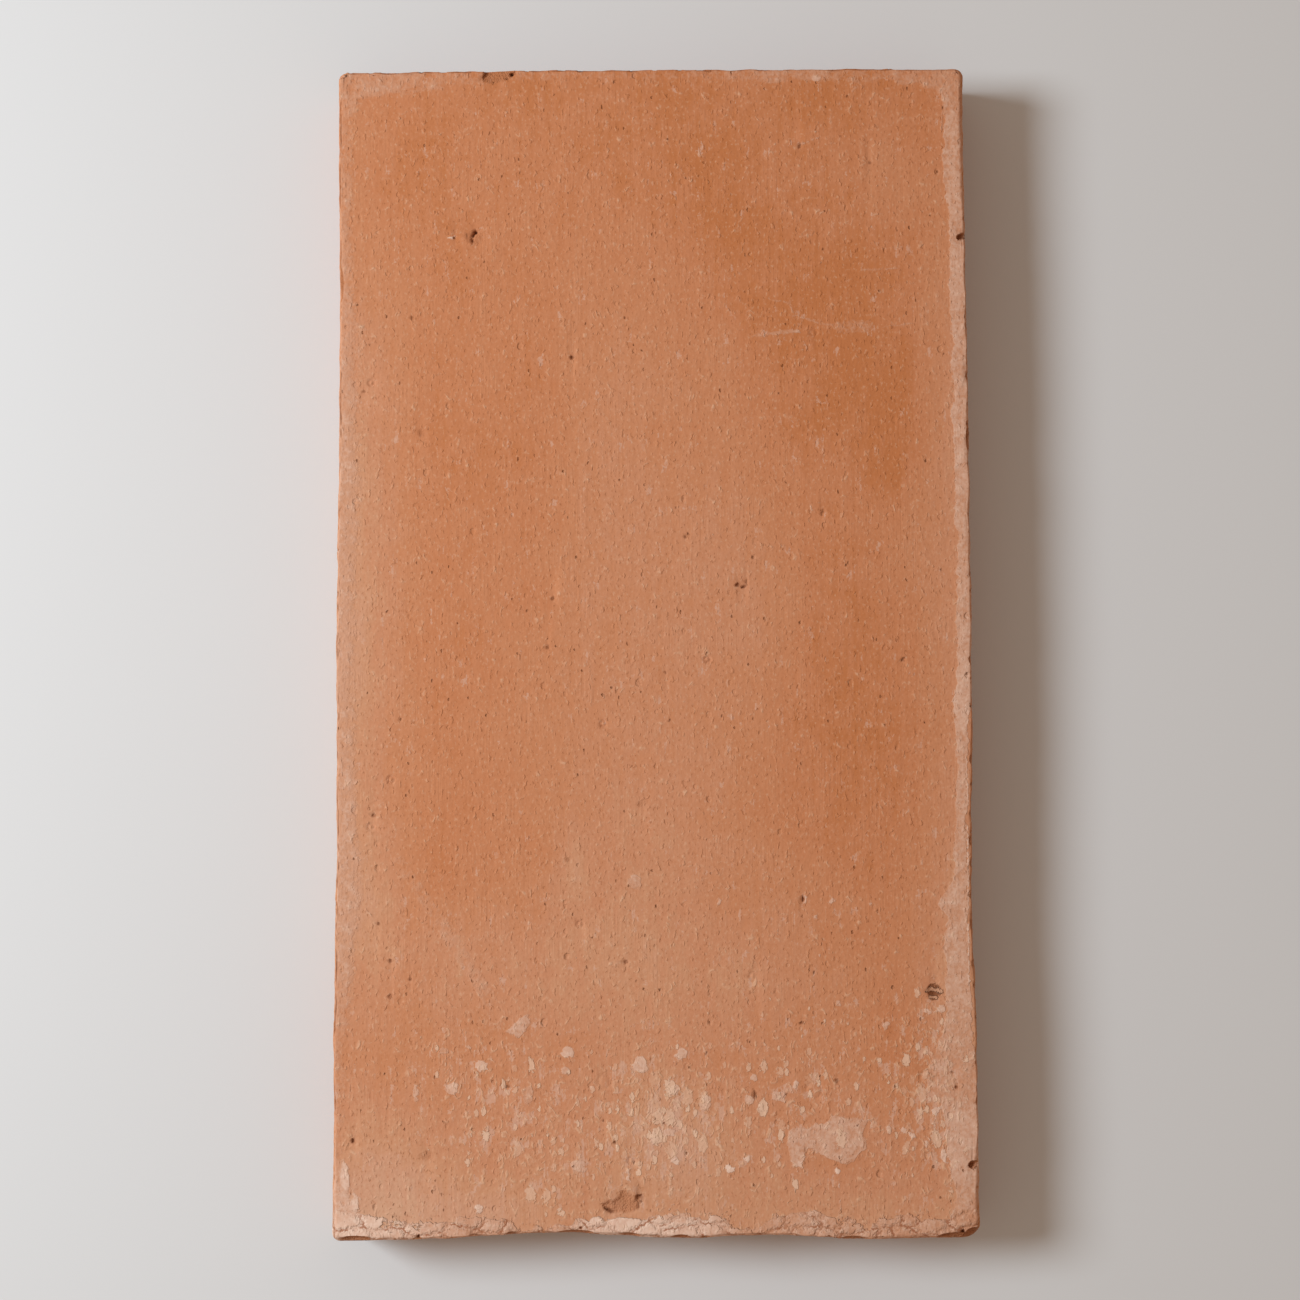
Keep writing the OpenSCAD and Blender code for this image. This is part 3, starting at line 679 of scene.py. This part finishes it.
# ---- Where it fired paler or deeper, where light is painted on, and where lime splashed ----
# The kiln's flames and the tiles stacked against it left a soft blush, which is kept on the mesh
# for the finish, along with what is broken, what holds dirt and painted shade, the arris and the lime.
# The blush also holds painted light: the face is paler towards its lower end and deeper towards its upper
# right.
# Fired and painted light: (x, y, half width, half length, how much paler)
FIRED_AND_PAINTED_LIGHT = [
    (-109, 5, 40, 200, 0.5), (-15, 15, 30, 150, 0.25), (15, 15, 34, 140, 0.25),
    (-45, -15, 24, 70, 0.13), (29, 25, 26, 45, 0.1), (61, 105, 38, 60, -0.15), (65, -28, 34, 55, -0.1),
    (29, 150, 50, 34, -0.09), (107, 0, 26, 400, 0.36), (79, 165, 26, 34, 0.18), (87, 30, 22, 45, 0.12),
    (0, -235, 260, 190, 0.42), (-51, -106, 64, 34, 0.2), (5, -160, 26, 28, 0.2),
    (-91, -208, 50, 30, 0.35), (-21, -70, 50, 60, 0.1), (5, -98, 52, 85, 0.22), (42, 5, 20, 60, 0.14),
    (-12, 95, 34, 60, 0.08), (-99, 62, 24, 100, 0.1), (-99, -90, 26, 48, 0.22),
    (-100, -192, 34, 36, 0.3), (100, -125, 24, 85, 0.14), (-104, 196, 30, 26, 0.3),
    (-78, -180, 40, 34, 0.08), (40, -100, 40, 50, 0.06), (66, 188, 46, 38, -0.16),
    (-84, 172, 24, 40, -0.12), (84, 74, 20, 44, -0.2), (-106, -20, 22, 120, 0.11),
    (-22, -196, 110, 46, 0.13), (98, -152, 22, 32, -0.14), (50, 118, 40, 34, -0.07),
    (0, 206, 120, 48, -0.09), (-84, -178, 38, 34, 0.14), (5, -166, 36, 36, 0.1),
    (-28, -75, 9, 16, 0.28), (78, -135, 20, 24, -0.13), (46, -82, 22, 30, 0.09),
    (-30, -116, 38, 24, 0.11), (-104, 196, 22, 22, -0.14), (100, 180, 18, 40, -0.14),
    (14, 162, 20, 28, -0.13), (56, 76, 30, 20, -0.13), (78, 57, 18, 18, -0.1), (42, 114, 16, 34, -0.04),
    (-98, -165, 18, 30, 0.15), (-98, -93, 18, 18, 0.1), (-70, -104, 18, 24, 0.12),
    (28, -114, 20, 20, 0.12), (-28, -86, 18, 22, 0.1), (-28, -152, 28, 18, 0.12),
    (84, -133, 16, 18, -0.13), (56, -194, 62, 14, 0.1), (-56, -192, 20, 14, 0.22),
    (0, -114, 120, 24, 0.06), (20, -171, 24, 18, 0.1), (98, -171, 16, 16, -0.14),
    (60, -171, 18, 14, -0.1), (77, -192, 42, 14, 0.1), (-62, 128, 28, 28, -0.07),
    (94, 160, 18, 46, -0.07),
]
# Where splashes left small flecks of lime: (x, y, half width, half length, how many)
SPLASHED = [
    (3, -158, 30, 30, 0.6), (-41, -162, 46, 34, 0.4), (57, -152, 56, 36, 0.3), (93, -150, 20, 50, 0.5),
    (-65, -142, 34, 20, 0.25), (0, -188, 140, 50, 0.16), (0, -120, 130, 60, 0.08),
]


# All the soft places of a list, added up at each point
def spread(places):
    across, along = points[:, 0], points[:, 1]
    return sum(much * bump(across, x, wide) * bump(along, y, long) for x, y, wide, long, much in places)


values = {
    "broken": broken,
    "dirt_and_shade": dirt_and_shade,
    "arris": arris_share,
    "lime_away": lime_away,
    "lime_white": lime_white,
    "fired": 0.18 + spread(FIRED_AND_PAINTED_LIGHT),
    "splashed": spread(SPLASHED),
}
values["fired"] += 0.05 * cloud(points, (24, 34, 24), 20) + 0.03 * cloud(points, (8, 14, 8), 21)
# Splashes stay off the bed and most of the sides, but a few stray flecks lie everywhere.
values["splashed"] *= rise(points[:, 2], thick - 6, thick - 3)
values["splashed"] += 0.01 + 0.015 * rise(points[:, 0], -10, 40)
for name, value in values.items():
    layer = mesh.attributes.new(name, "FLOAT", "POINT")
    layer.data.foreach_set("value", value.astype(np.float32))

# Flat places are thinned out, while broken ones and those with dirt and painted shade keep most of their
# points.
thin_out = tile.modifiers.new("thin_out", "DECIMATE")
thin_out.ratio = TILE_TRIANGLES / (2 * len(faces))
kept = tile.vertex_groups.new(name="kept")
kept.add(np.flatnonzero((dirt_and_shade > 0.02) | (broken > 0.3)).tolist(), 1.0, "REPLACE")
thin_out.vertex_group = "kept"
thin_out.invert_vertex_group = True
thin_out.vertex_group_factor = 0.5
tile.data = bpy.data.meshes.new_from_object(tile.evaluated_get(bpy.context.evaluated_depsgraph_get()))
tile.modifiers.clear()
tile.data.shade_smooth()


# ---- Its skin opened out flat, for a finish baked to an image ----
# The face lies along the square's lower edge at its full length and takes half of it.
# The four sides are strips above it, and the bed, which is hardly seen, is coarser.
BAKED = 1024  # dots along the square


# Every face goes to the strip of the side that it belongs to, square on to that side
def lay_flat(mesh):
    count = len(mesh.vertices)
    at_vertex = np.zeros(count * 3, np.float32)
    mesh.vertices.foreach_get("co", at_vertex)
    at_vertex = at_vertex.reshape(-1, 3) / MM
    corners = np.zeros(len(mesh.loops), np.int32)
    mesh.loops.foreach_get("vertex_index", corners)
    firsts = np.zeros(len(mesh.polygons), np.int32)
    mesh.polygons.foreach_get("loop_start", firsts)
    sides = np.diff(np.append(firsts, len(corners)))
    facing = np.zeros(len(mesh.polygons) * 3, np.float32)
    mesh.polygons.foreach_get("normal", facing)
    facing = facing.reshape(-1, 3)
    place = at_vertex[corners]
    middle = np.add.reduceat(place, firsts) / sides[:, None]
    rim = 5  # mm
    inland = (np.abs(middle[:, :2]) < (half_w - rim, half_l - rim)).all(1) & (middle[:, 2] > thick / 2)
    across = np.abs(facing[:, 0]) > np.abs(facing[:, 1])
    strip = np.where(across, np.where(facing[:, 0] > 0, 1, 2), np.where(facing[:, 1] > 0, 3, 4))
    strip = np.where(facing[:, 2] < -0.5, 5, strip)
    strip = np.where((facing[:, 2] > 0.5) | inland, 0, strip)
    # Each strip: (axis along U, axis along V, lowest along each in mm, dots to a mm, first dots along U, V)
    strips = [
        (1, 0, -half_l, -half_w, 2.5, 12, 8),
        (1, 2, -half_l, 0, 2.2, 12, 564),
        (1, 2, -half_l, 0, 2.2, 12, 640),
        (0, 2, -half_w, 0, 2.0, 520, 716),
        (0, 2, -half_w, 0, 2.0, 520, 786),
        (1, 0, -half_l, -half_w, 1.2, 12, 716),
    ]
    flat = np.zeros((len(corners), 2))
    of_corner = np.repeat(strip, sides)
    for kind, (along, up, low_u, low_v, dots, first_u, first_v) in enumerate(strips):
        those = of_corner == kind
        flat[those, 0] = (first_u + (place[those, along] - low_u) * dots) / BAKED
        flat[those, 1] = (first_v + (place[those, up] - low_v) * dots) / BAKED
    layer = mesh.uv_layers.new(name="OFBake", do_init=False)
    layer.uv.foreach_set("vector", flat.astype(np.float32).ravel())


lay_flat(tile.data)


# ---- Its colour: clay fired in a wood kiln, then years of wear and lime, and painted light and shade ----
# The firing left it orange where it was hot and dry, and pinkish and paler where tiles shielded it.
# Over that lie lime in thin skins, clouds, flecks and curls, and the darker clay of breaks and pits.
# Dirt and painted shade darken pits, holes, nicks, creases and cracks, and the face's small high places
# carry painted highlights.


# An sRGB hex colour as linear red, green, blue and alpha
def linear(code):
    parts = [int(code[i:i + 2], 16) / 255 for i in (1, 3, 5)]
    return [*((p / 12.92 if p <= 0.04045 else ((p + 0.055) / 1.055) ** 2.4) for p in parts), 1]


# Adds a node: its settings by name, and its inputs, each a value or another node's output
def add(kind, inputs=(), **settings):
    node = material.node_tree.nodes.new("ShaderNode" + kind)
    for name, value in settings.items():
        setattr(node, name, value)
    for name, value in dict(inputs).items():
        if isinstance(value, bpy.types.Node):
            value = value.outputs[0]
        if isinstance(value, bpy.types.NodeSocket):
            material.node_tree.links.new(value, node.inputs[name])
        else:
            node.inputs[name].default_value = value
    return node


# Matt, sandy, wood-fired terracotta: orange clay with a paler blush, dragged, dented and pin-holed.
# Low-fired clay is porous, so it has hardly any gloss.
material = bpy.data.materials.new("wood_fired_terracotta")
material.use_nodes = True
material.node_tree.nodes.clear()
at = {name: add("Attribute", attribute_name=name).outputs["Fac"] for name in values}
where = add("TexCoord").outputs["Object"]
mm = add("VectorMath", {0: where, 1: (1 / MM,) * 3}, operation="MULTIPLY")
# The patterns are flat ones, and going down the sides they move on along both X and Y.
z = add("SeparateXYZ", {0: mm}).outputs["Z"]
solid_mm = mm
mm = add("VectorMath", {0: z, 1: (0.7, 0.7, 0.0), 2: solid_mm}, operation="MULTIPLY_ADD")

# Noises. Places are in mm here, so each scale is the number of marks to a millimetre.
# The ragged rim that breaks and lime have, in marks of 1.25 mm
ragged = add("TexNoise", {"Vector": mm, "Scale": 0.8, "Detail": 2.0, "Roughness": 0.65},
             noise_dimensions="2D")
# Places squeezed or bent, so that marks come out longer along Y and none is a plain round one
oval = add("VectorMath", {0: mm, 1: (1.0, 0.62, 1.0)}, operation="MULTIPLY")
bent = add("VectorMath", {0: ragged.outputs["Color"], 1: (0.9, 0.9, 0.9), 2: oval},
           operation="MULTIPLY_ADD")
wander = add("VectorMath", {0: ragged.outputs["Color"], 1: (2.2, 2.2, 2.2), 2: oval},
             operation="MULTIPLY_ADD")
long_y = add("VectorMath", {0: mm, 1: (1.0, 0.04, 0.4)}, operation="MULTIPLY")
# Mottling of clay that was not evenly mixed: blots of 4 mm, and patches of 14 mm
mottle = add("TexNoise", {"Vector": mm, "Scale": 0.25, "Detail": 2.0, "Roughness": 0.6},
             noise_dimensions="2D")
patchy = add("TexNoise", {"Vector": mm, "Scale": 0.07, "Detail": 1.0}, noise_dimensions="2D")
# Drag marks of the strike, 25 times as long as they are wide: fine ones of 0.8 mm, and streaks of 2 mm
combed = add("TexNoise", {"Vector": long_y, "Scale": 1.2, "Detail": 1.0, "Roughness": 0.6},
             noise_dimensions="2D")
streaks = add("TexNoise", {"Vector": long_y, "Scale": 0.5, "Detail": 1.0}, noise_dimensions="2D")
# The face's small lumps: 1.7 mm, and 0.9 mm for the sand just under the skin
wrinkles = add("TexNoise", {"Vector": bent, "Scale": 0.6, "Detail": 1.0, "Roughness": 0.6},
               noise_dimensions="2D")
fine = add("TexNoise", {"Vector": bent, "Scale": 1.1, "Detail": 1.0, "Roughness": 0.6},
           noise_dimensions="2D")
# Grit, drawn as 0.6 mm: the real grains of 0.1 to 0.3 mm are too fine to show.
grain = add("TexNoise", {"Vector": mm, "Scale": 1.7, "Detail": 1.0, "Roughness": 0.6},
            noise_dimensions="2D")

# The clay's colour, from deep orange to a pale pinkish buff, with the painted light that the blush carries
shade = add("Math", {0: mottle, 1: 0.22, 2: at["fired"]}, operation="MULTIPLY_ADD")
shade = add("Math", {0: patchy, 1: 0.2, 2: shade}, operation="MULTIPLY_ADD")
shade = add("Math", {0: streaks, 1: 0.2, 2: shade}, operation="MULTIPLY_ADD")
shade = add("Math", {0: grain, 1: 0.08, 2: shade}, operation="MULTIPLY_ADD")
shade = add("Math", {0: shade, 1: 0.35}, operation="SUBTRACT")
body = add("ValToRGB", {"Fac": shade})
ramp = body.color_ramp.elements
ramp[0].color = linear("#B87044")
ramp[1].color = linear("#CA9879")
BETWEEN = [(0.17, "#BF7A53"), (0.33, "#C17F59"), (0.5, "#C38461"), (0.67, "#C58B68"), (0.83, "#C79071")]
for place, code in BETWEEN:
    ramp.new(place).color = linear(code)
# Painted light and shade: where the fine noise is low, the clay is painted a deeper brown as shade, and
# where it is high, paler as a highlight.
painted_shade_spots = add("MapRange", {"Value": fine, "From Min": 0.42, "From Max": 0.22, "To Max": 0.3})
colour = add("Mix", {"Factor": painted_shade_spots, 6: body, 7: linear("#A9653D")}, data_type="RGBA").outputs[2]
painted_highlight_spots = add("MapRange", {"Value": fine, "From Min": 0.62, "From Max": 0.8, "To Max": 0.4})
colour = add("Mix", {"Factor": painted_highlight_spots, 6: colour, 7: linear("#D2A585")}, data_type="RGBA").outputs[2]

# The skin of lime, sharp at its rim, worn through where it is thin
rim = add("Math", {0: ragged, 1: 1.6, 2: at["lime_away"]}, operation="MULTIPLY_ADD")
inside = add("MapRange", {"Value": rim, "From Min": 1.0, "From Max": 0.6},
             interpolation_type="SMOOTHSTEP")
uneven = add("Math", {0: mottle, 1: 0.6, 2: at["lime_white"]}, operation="MULTIPLY_ADD")
uneven = add("Math", {0: ragged, 1: 0.6, 2: uneven}, operation="MULTIPLY_ADD")
kept = add("MapRange", {"Value": uneven, "From Min": 0.62, "From Max": 1.05, "To Max": 0.88})
skin = add("Math", {0: inside, 1: kept}, operation="MULTIPLY")
whiter = add("MapRange", {"Value": uneven, "From Min": 0.98, "From Max": 1.7})
lime_colour = add("Mix", {"Factor": whiter, 6: linear("#C59174"), 7: linear("#E4C3AE")},
                  data_type="RGBA").outputs[2]
colour = add("Mix", {"Factor": skin, 6: colour, 7: lime_colour}, data_type="RGBA").outputs[2]

# Soft clouds of lime about 4.5 mm across, where it stood wet, dragged apart along Y
cloudy = add("TexNoise", {"Vector": wander, "Scale": 0.22, "Detail": 3.0, "Roughness": 0.7},
             noise_dimensions="2D")
cloudy = add("Math", {0: at["splashed"], 1: 0.3, 2: cloudy}, operation="MULTIPLY_ADD")
cloudy = add("Math", {0: combed, 1: -0.22, 2: cloudy}, operation="MULTIPLY_ADD")
clouds = add("MapRange", {"Value": cloudy, "From Min": 0.56, "From Max": 0.66, "To Max": 0.6},
             interpolation_type="SMOOTHSTEP")
colour = add("Mix", {"Factor": clouds, 6: colour, 7: linear("#CDA088")}, data_type="RGBA").outputs[2]

# Small flecks of lime: a cell holds one if its chance is under the share splashed there.
# Each is (size of its cells in mm, largest reach of a fleck, as a share of the cell).
flecks = 0.0
for size, reach in ((2.6, 0.38), (5.2, 0.40)):
    cells = add("TexVoronoi", {"Vector": bent, "Scale": 1 / size}, voronoi_dimensions="2D")
    chance = add("SeparateXYZ", {0: cells.outputs["Color"]})
    room = add("Math", {0: at["splashed"], 1: chance}, operation="SUBTRACT")
    room = add("Math", {0: room, 1: 1.6}, operation="MULTIPLY")
    room = add("Math", {0: room, 1: reach}, operation="MINIMUM")
    room = add("Math", {0: room, 1: cells.outputs["Distance"]}, operation="SUBTRACT")
    room = add("Math", {0: ragged, 1: 0.5, 2: room}, operation="MULTIPLY_ADD")
    fleck = add("MapRange", {"Value": room, "From Min": 0.27, "From Max": 0.34},
                interpolation_type="SMOOTHSTEP")
    thick_fleck = add("MapRange", {"Value": chance.outputs[1], "To Min": 0.1, "To Max": 0.85})
    fleck = add("Math", {0: fleck, 1: thick_fleck}, operation="MULTIPLY")
    flecks = add("Math", {0: fleck, 1: flecks}, operation="MAXIMUM")
colour = add("Mix", {"Factor": flecks, 6: colour, 7: linear("#DAB296")}, data_type="RGBA").outputs[2]

# Curls of lime that dried round drops of some 3 mm: raised rings and worms along levels of a noise
drops = add("TexNoise", {"Vector": bent, "Scale": 0.3, "Detail": 0.3}, noise_dimensions="2D")
curls = add("Math", {0: drops, 1: 0.12}, operation="PINGPONG")
curls = add("MapRange", {"Value": curls, "From Min": 0.07, "From Max": 0.0},
            interpolation_type="SMOOTHSTEP")
where_curled = add("Math", {0: mottle, 1: 2.6, 2: at["splashed"]}, operation="MULTIPLY_ADD")
where_curled = add("MapRange", {"Value": where_curled, "From Min": 1.65, "From Max": 2.05})
curls = add("Math", {0: curls, 1: where_curled}, operation="MULTIPLY")
pale = add("Math", {0: curls, 1: 0.45}, operation="MULTIPLY")
colour = add("Mix", {"Factor": pale, 6: colour, 7: linear("#DDB392")}, data_type="RGBA").outputs[2]

# The crust along the lower edge stands in rounded plates, with bare clay and cracks between them. The gaps
# are painted darker than bare clay, as the shade that falls in the cracks.
along = add("SeparateXYZ", {0: where}).outputs["Y"]
crust_ends, crust_full = 13, 8  # mm in from the lower edge
crust = add("MapRange", {"Value": along, "From Min": (crust_ends - half_l) * MM,
                         "From Max": (crust_full - half_l) * MM})
crust = add("Math", {0: crust, 1: inside}, operation="MULTIPLY")
slabs = add("VectorMath", {0: mm, 1: (0.75, 1.25, 1.0)}, operation="MULTIPLY")
slabs = add("VectorMath", {0: ragged.outputs["Color"], 1: (2.2, 2.2, 2.2), 2: slabs},
            operation="MULTIPLY_ADD")
plate_size = 7  # mm
plates = add("TexVoronoi", {"Vector": slabs, "Scale": 1 / plate_size},
             voronoi_dimensions="2D", feature="DISTANCE_TO_EDGE")
plates = add("MapRange", {"Value": plates, "From Min": 0.0, "From Max": 0.22},
             interpolation_type="SMOOTHSTEP")
gaps_bare_and_shaded = add("MapRange", {"Value": plates, "From Min": 0.22, "From Max": 0.02, "To Max": 0.85})
some = add("MapRange", {"Value": mottle, "From Min": 0.42, "From Max": 0.58})
gaps_bare_and_shaded = add("Math", {0: gaps_bare_and_shaded, 1: some}, operation="MULTIPLY")
gaps_bare_and_shaded = add("Math", {0: gaps_bare_and_shaded, 1: crust}, operation="MULTIPLY")
plates = add("Math", {0: plates, 1: crust}, operation="MULTIPLY")
colour = add("Mix", {"Factor": gaps_bare_and_shaded, 6: colour, 7: linear("#9A5B3A")}, data_type="RGBA").outputs[2]

# Along the arris the lime wears off first, and broken clay shows.
bare = add("Math", {0: ragged, 1: 0.9, 2: at["arris"]}, operation="MULTIPLY_ADD")
bare = add("Math", {0: mottle, 1: 1.5, 2: bare}, operation="MULTIPLY_ADD")
bare = add("MapRange", {"Value": bare, "From Min": 1.9, "From Max": 2.15, "To Max": 0.8},
           interpolation_type="SMOOTHSTEP")
colour = add("Mix", {"Factor": bare, 6: colour, 7: linear("#B8713F")}, data_type="RGBA").outputs[2]

# Pinholes, where sand and straw burned out, and the small dents of grains pushed in or dragged out:
# each is (size of its cells in mm, how much longer it is along Y, largest radius in mm).
holes, dents = 0.0, 0.0
for size, longer, radius in ((4.4, 1.5, 0.8), (8.0, 1.3, 1.35)):
    squeezed = add("VectorMath", {0: mm, 1: (1, 1 / longer, 1)}, operation="MULTIPLY")
    squeezed = add("VectorMath", {0: ragged.outputs["Color"], 1: (0.8,) * 3, 2: squeezed},
                   operation="MULTIPLY_ADD")
    cells = add("TexVoronoi", {"Vector": squeezed, "Scale": 1 / size}, voronoi_dimensions="2D")
    chance = add("SeparateXYZ", {0: cells.outputs["Color"]})
    far = add("Math", {0: cells.outputs["Distance"], 1: size}, operation="MULTIPLY")
    reach = add("MapRange", {"Value": chance.outputs[0], "From Min": 0.72, "To Max": radius})
    share = add("Math", {0: far, 1: reach}, operation="DIVIDE")
    dent = add("MapRange", {"Value": share, "From Min": 1.0, "From Max": 0.4},
               interpolation_type="SMOOTHSTEP")
    deep = add("Math", {0: reach, 1: chance.outputs[1]}, operation="MULTIPLY")
    dent = add("Math", {0: dent, 1: deep}, operation="MULTIPLY")
    dents = add("Math", {0: dent, 1: dents}, operation="MAXIMUM")
    hole = add("MapRange", {"Value": far, "From Min": 0.42, "From Max": 0.12},
               interpolation_type="SMOOTHSTEP")
    share = add("MapRange", {"Value": chance.outputs[2], "From Min": 0.91, "From Max": 0.97})
    hole = add("Math", {0: hole, 1: share}, operation="MULTIPLY")
    holes = add("Math", {0: hole, 1: holes}, operation="MAXIMUM")
# Pinholes are painted dark brown, as the shade inside them.
hole_painted_shade = add("Math", {0: holes, 1: 0.6}, operation="MULTIPLY")
colour = add("Mix", {"Factor": hole_painted_shade, 6: colour, 7: linear("#7D4222")}, data_type="RGBA").outputs[2]

# Fresh breaks show deeper orange clay, and deep holes hold dirt and are painted darker as shade.
fresh = add("Math", {0: at["broken"], 1: 0.8}, operation="MULTIPLY")
colour = add("Mix", {"Factor": fresh, 6: colour, 7: linear("#AA6A45")}, data_type="RGBA").outputs[2]
colour = add("Mix", {"Factor": at["dirt_and_shade"], 6: colour, 7: linear("#653318")}, data_type="RGBA").outputs[2]

# The pit near the right edge broke down through the clay's layers, which show as pale ridges. The pit is
# painted dark as the shade inside it, and the ridges are painted pale as lit clay between shaded gaps.
layers_centre = (93.0, -121.6, thick)  # mm
pit_centre = (93.5, -117.5, thick)
layer_spacing = 2.6
off_layers = add("VectorMath", {0: solid_mm, 1: layers_centre},
                 operation="DISTANCE").outputs["Value"]
layers = add("Math", {0: ragged, 1: 1.6, 2: off_layers}, operation="MULTIPLY_ADD")
layers = add("Math", {0: layers, 1: 2 * math.pi / layer_spacing}, operation="MULTIPLY")
layers = add("Math", {0: layers}, operation="SINE")
layers = add("MapRange", {"Value": layers, "From Min": -0.2, "From Max": 0.4},
             interpolation_type="SMOOTHSTEP")
from_pit = add("VectorMath", {0: solid_mm, 1: pit_centre}, operation="DISTANCE").outputs["Value"]
from_pit = add("Math", {0: ragged, 1: 3.0, 2: from_pit}, operation="MULTIPLY_ADD")
in_pit = add("MapRange", {"Value": from_pit, "From Min": 4.4, "From Max": 3.8},
             interpolation_type="SMOOTHSTEP")
layers = add("Math", {0: layers, 1: in_pit}, operation="MULTIPLY")
pit_painted_shade = add("Math", {0: in_pit, 1: 0.75}, operation="MULTIPLY")
colour = add("Mix", {"Factor": pit_painted_shade, 6: colour, 7: linear("#6B3A1F")}, data_type="RGBA").outputs[2]
pit_lit_ridges = add("Math", {0: layers, 1: 0.9}, operation="MULTIPLY")
colour = add("Mix", {"Factor": pit_lit_ridges, 6: colour, 7: linear("#C49070")}, data_type="RGBA").outputs[2]

# Fine relief: each entry of RELIEF is a pattern and how high it stands, in mm.
where_combed = add("MapRange", {"Value": patchy, "From Min": 0.52, "From Max": 0.68, "To Max": 0.2})
comb = add("Math", {0: combed, 1: where_combed}, operation="MULTIPLY")
crumbs = add("Math", {0: grain, 1: at["broken"]}, operation="MULTIPLY")
dips = add("MapRange", {"Value": fine, "From Min": 0.3, "From Max": 0.15},
           interpolation_type="SMOOTHSTEP")
lumps = add("MapRange", {"Value": wrinkles, "From Min": 0.64, "From Max": 0.82},
            interpolation_type="SMOOTHSTEP")
RELIEF = [
    (mottle, 0.24), (wrinkles, 0.04), (dips, -0.11), (lumps, 0.15), (grain, 0.03), (comb, 0.5),
    (holes, -0.35), (dents, -0.3), (flecks, 0.2), (skin, 0.12), (curls, 0.12), (plates, 0.35),
    (layers, 0.8), (crumbs, 0.6),
]
height = 0.0
for pattern, much in RELIEF:
    height = add("Math", {0: pattern, 1: much, 2: height}, operation="MULTIPLY_ADD")
relief = add("Bump", {"Strength": 1.0, "Distance": MM, "Height": height})
clay = add("BsdfPrincipled", {"Base Color": colour, "Roughness": 0.88, "Specular IOR Level": 0.15,
                              "Normal": relief})
add("OutputMaterial", {"Surface": clay})
tile.data.materials.clear()
tile.data.materials.append(material)

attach(tile, "root")
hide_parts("tile")

# ---- The floor it lies on ----
# A plain pale screed, which is not part of the object.
# It is wide enough to fill the view and takes the tile's shadow.
floor_reach = 9  # m
# Matt plaster: one even pale tone without gloss, so the tile's own colours stand out.
material = bpy.data.materials.new("pale_plaster_floor")
material.use_nodes = True
material.node_tree.nodes.clear()
surface = add("BsdfDiffuse", {"Color": linear("#CFCCCA")})
add("OutputMaterial", {"Surface": surface})
mesh = bpy.data.meshes.new("floor")
floor_corners = [(floor_reach * x, floor_reach * y, 0) for x, y in ((-1, -1), (1, -1), (1, 1), (-1, 1))]
mesh.from_pydata(floor_corners, [], [(0, 1, 2, 3)])
floor = bpy.data.objects.new("floor", mesh)
floor.data.materials.append(material)
bpy.context.scene.collection.objects.link(floor)

# ---- The light ----
# Warm light from all round and a cooler soft key, which stands off to the left.
# The two come to plain white together, at a level where a colour renders about as it is written.
sky = (0.42, 0.335, 0.27)
key_elevation, key_azimuth = 42, 171  # degrees
key_away = 1.35   # m, near enough that the light falls off towards the right
key_across = 0.5  # m, which softens the shadow's edge
world = bpy.data.worlds.new("studio")
bpy.context.scene.world = world
world.use_nodes = True
world.node_tree.nodes["Background"].inputs["Color"].default_value = (*sky, 1)
world.node_tree.nodes["Background"].inputs["Strength"].default_value = 1
lamp = bpy.data.lights.new("soft_key", "AREA")
lamp.shape = "DISK"
lamp.size = key_across
lamp.color = [1 - part for part in sky]
lamp.energy = (math.pi * key_away) ** 2 / math.sin(math.radians(key_elevation))
key = bpy.data.objects.new("soft_key", lamp)
up, about = math.radians(key_elevation), math.radians(key_azimuth)
toward = Vector((math.cos(about) * math.cos(up), math.sin(about) * math.cos(up), math.sin(up)))
key.location = toward * key_away
key.rotation_mode = "QUATERNION"
key.rotation_quaternion = toward.to_track_quat("Z", "Y")
bpy.context.scene.collection.objects.link(key)

# ---- The camera ----
# It looks down on the show face from a little below its middle, about 0.83 m away,
# so the lower end is nearer and looks slightly wider than the upper one.
stand = Vector((-0.2, -66.1, 855.9)) * MM
look_at = Vector((-1.3, -2.1, thick)) * MM
roll = math.radians(-0.24)
view_angle = math.radians(29.8)
lens = bpy.data.cameras.new("camera")
lens.sensor_width = 36
lens.lens = lens.sensor_width / 2 / math.tan(view_angle / 2)
camera = bpy.data.objects.new("camera", lens)
camera.location = stand
back = (stand - look_at).normalized()
right = Vector((math.cos(roll), math.sin(roll), 0)).cross(back).cross(back).normalized() * -1
camera.rotation_mode = "QUATERNION"
camera.rotation_quaternion = Matrix((right, back.cross(right), back)).transposed().to_quaternion()
bpy.context.scene.collection.objects.link(camera)
bpy.context.scene.camera = camera
bpy.context.scene.view_settings.view_transform = "Standard"
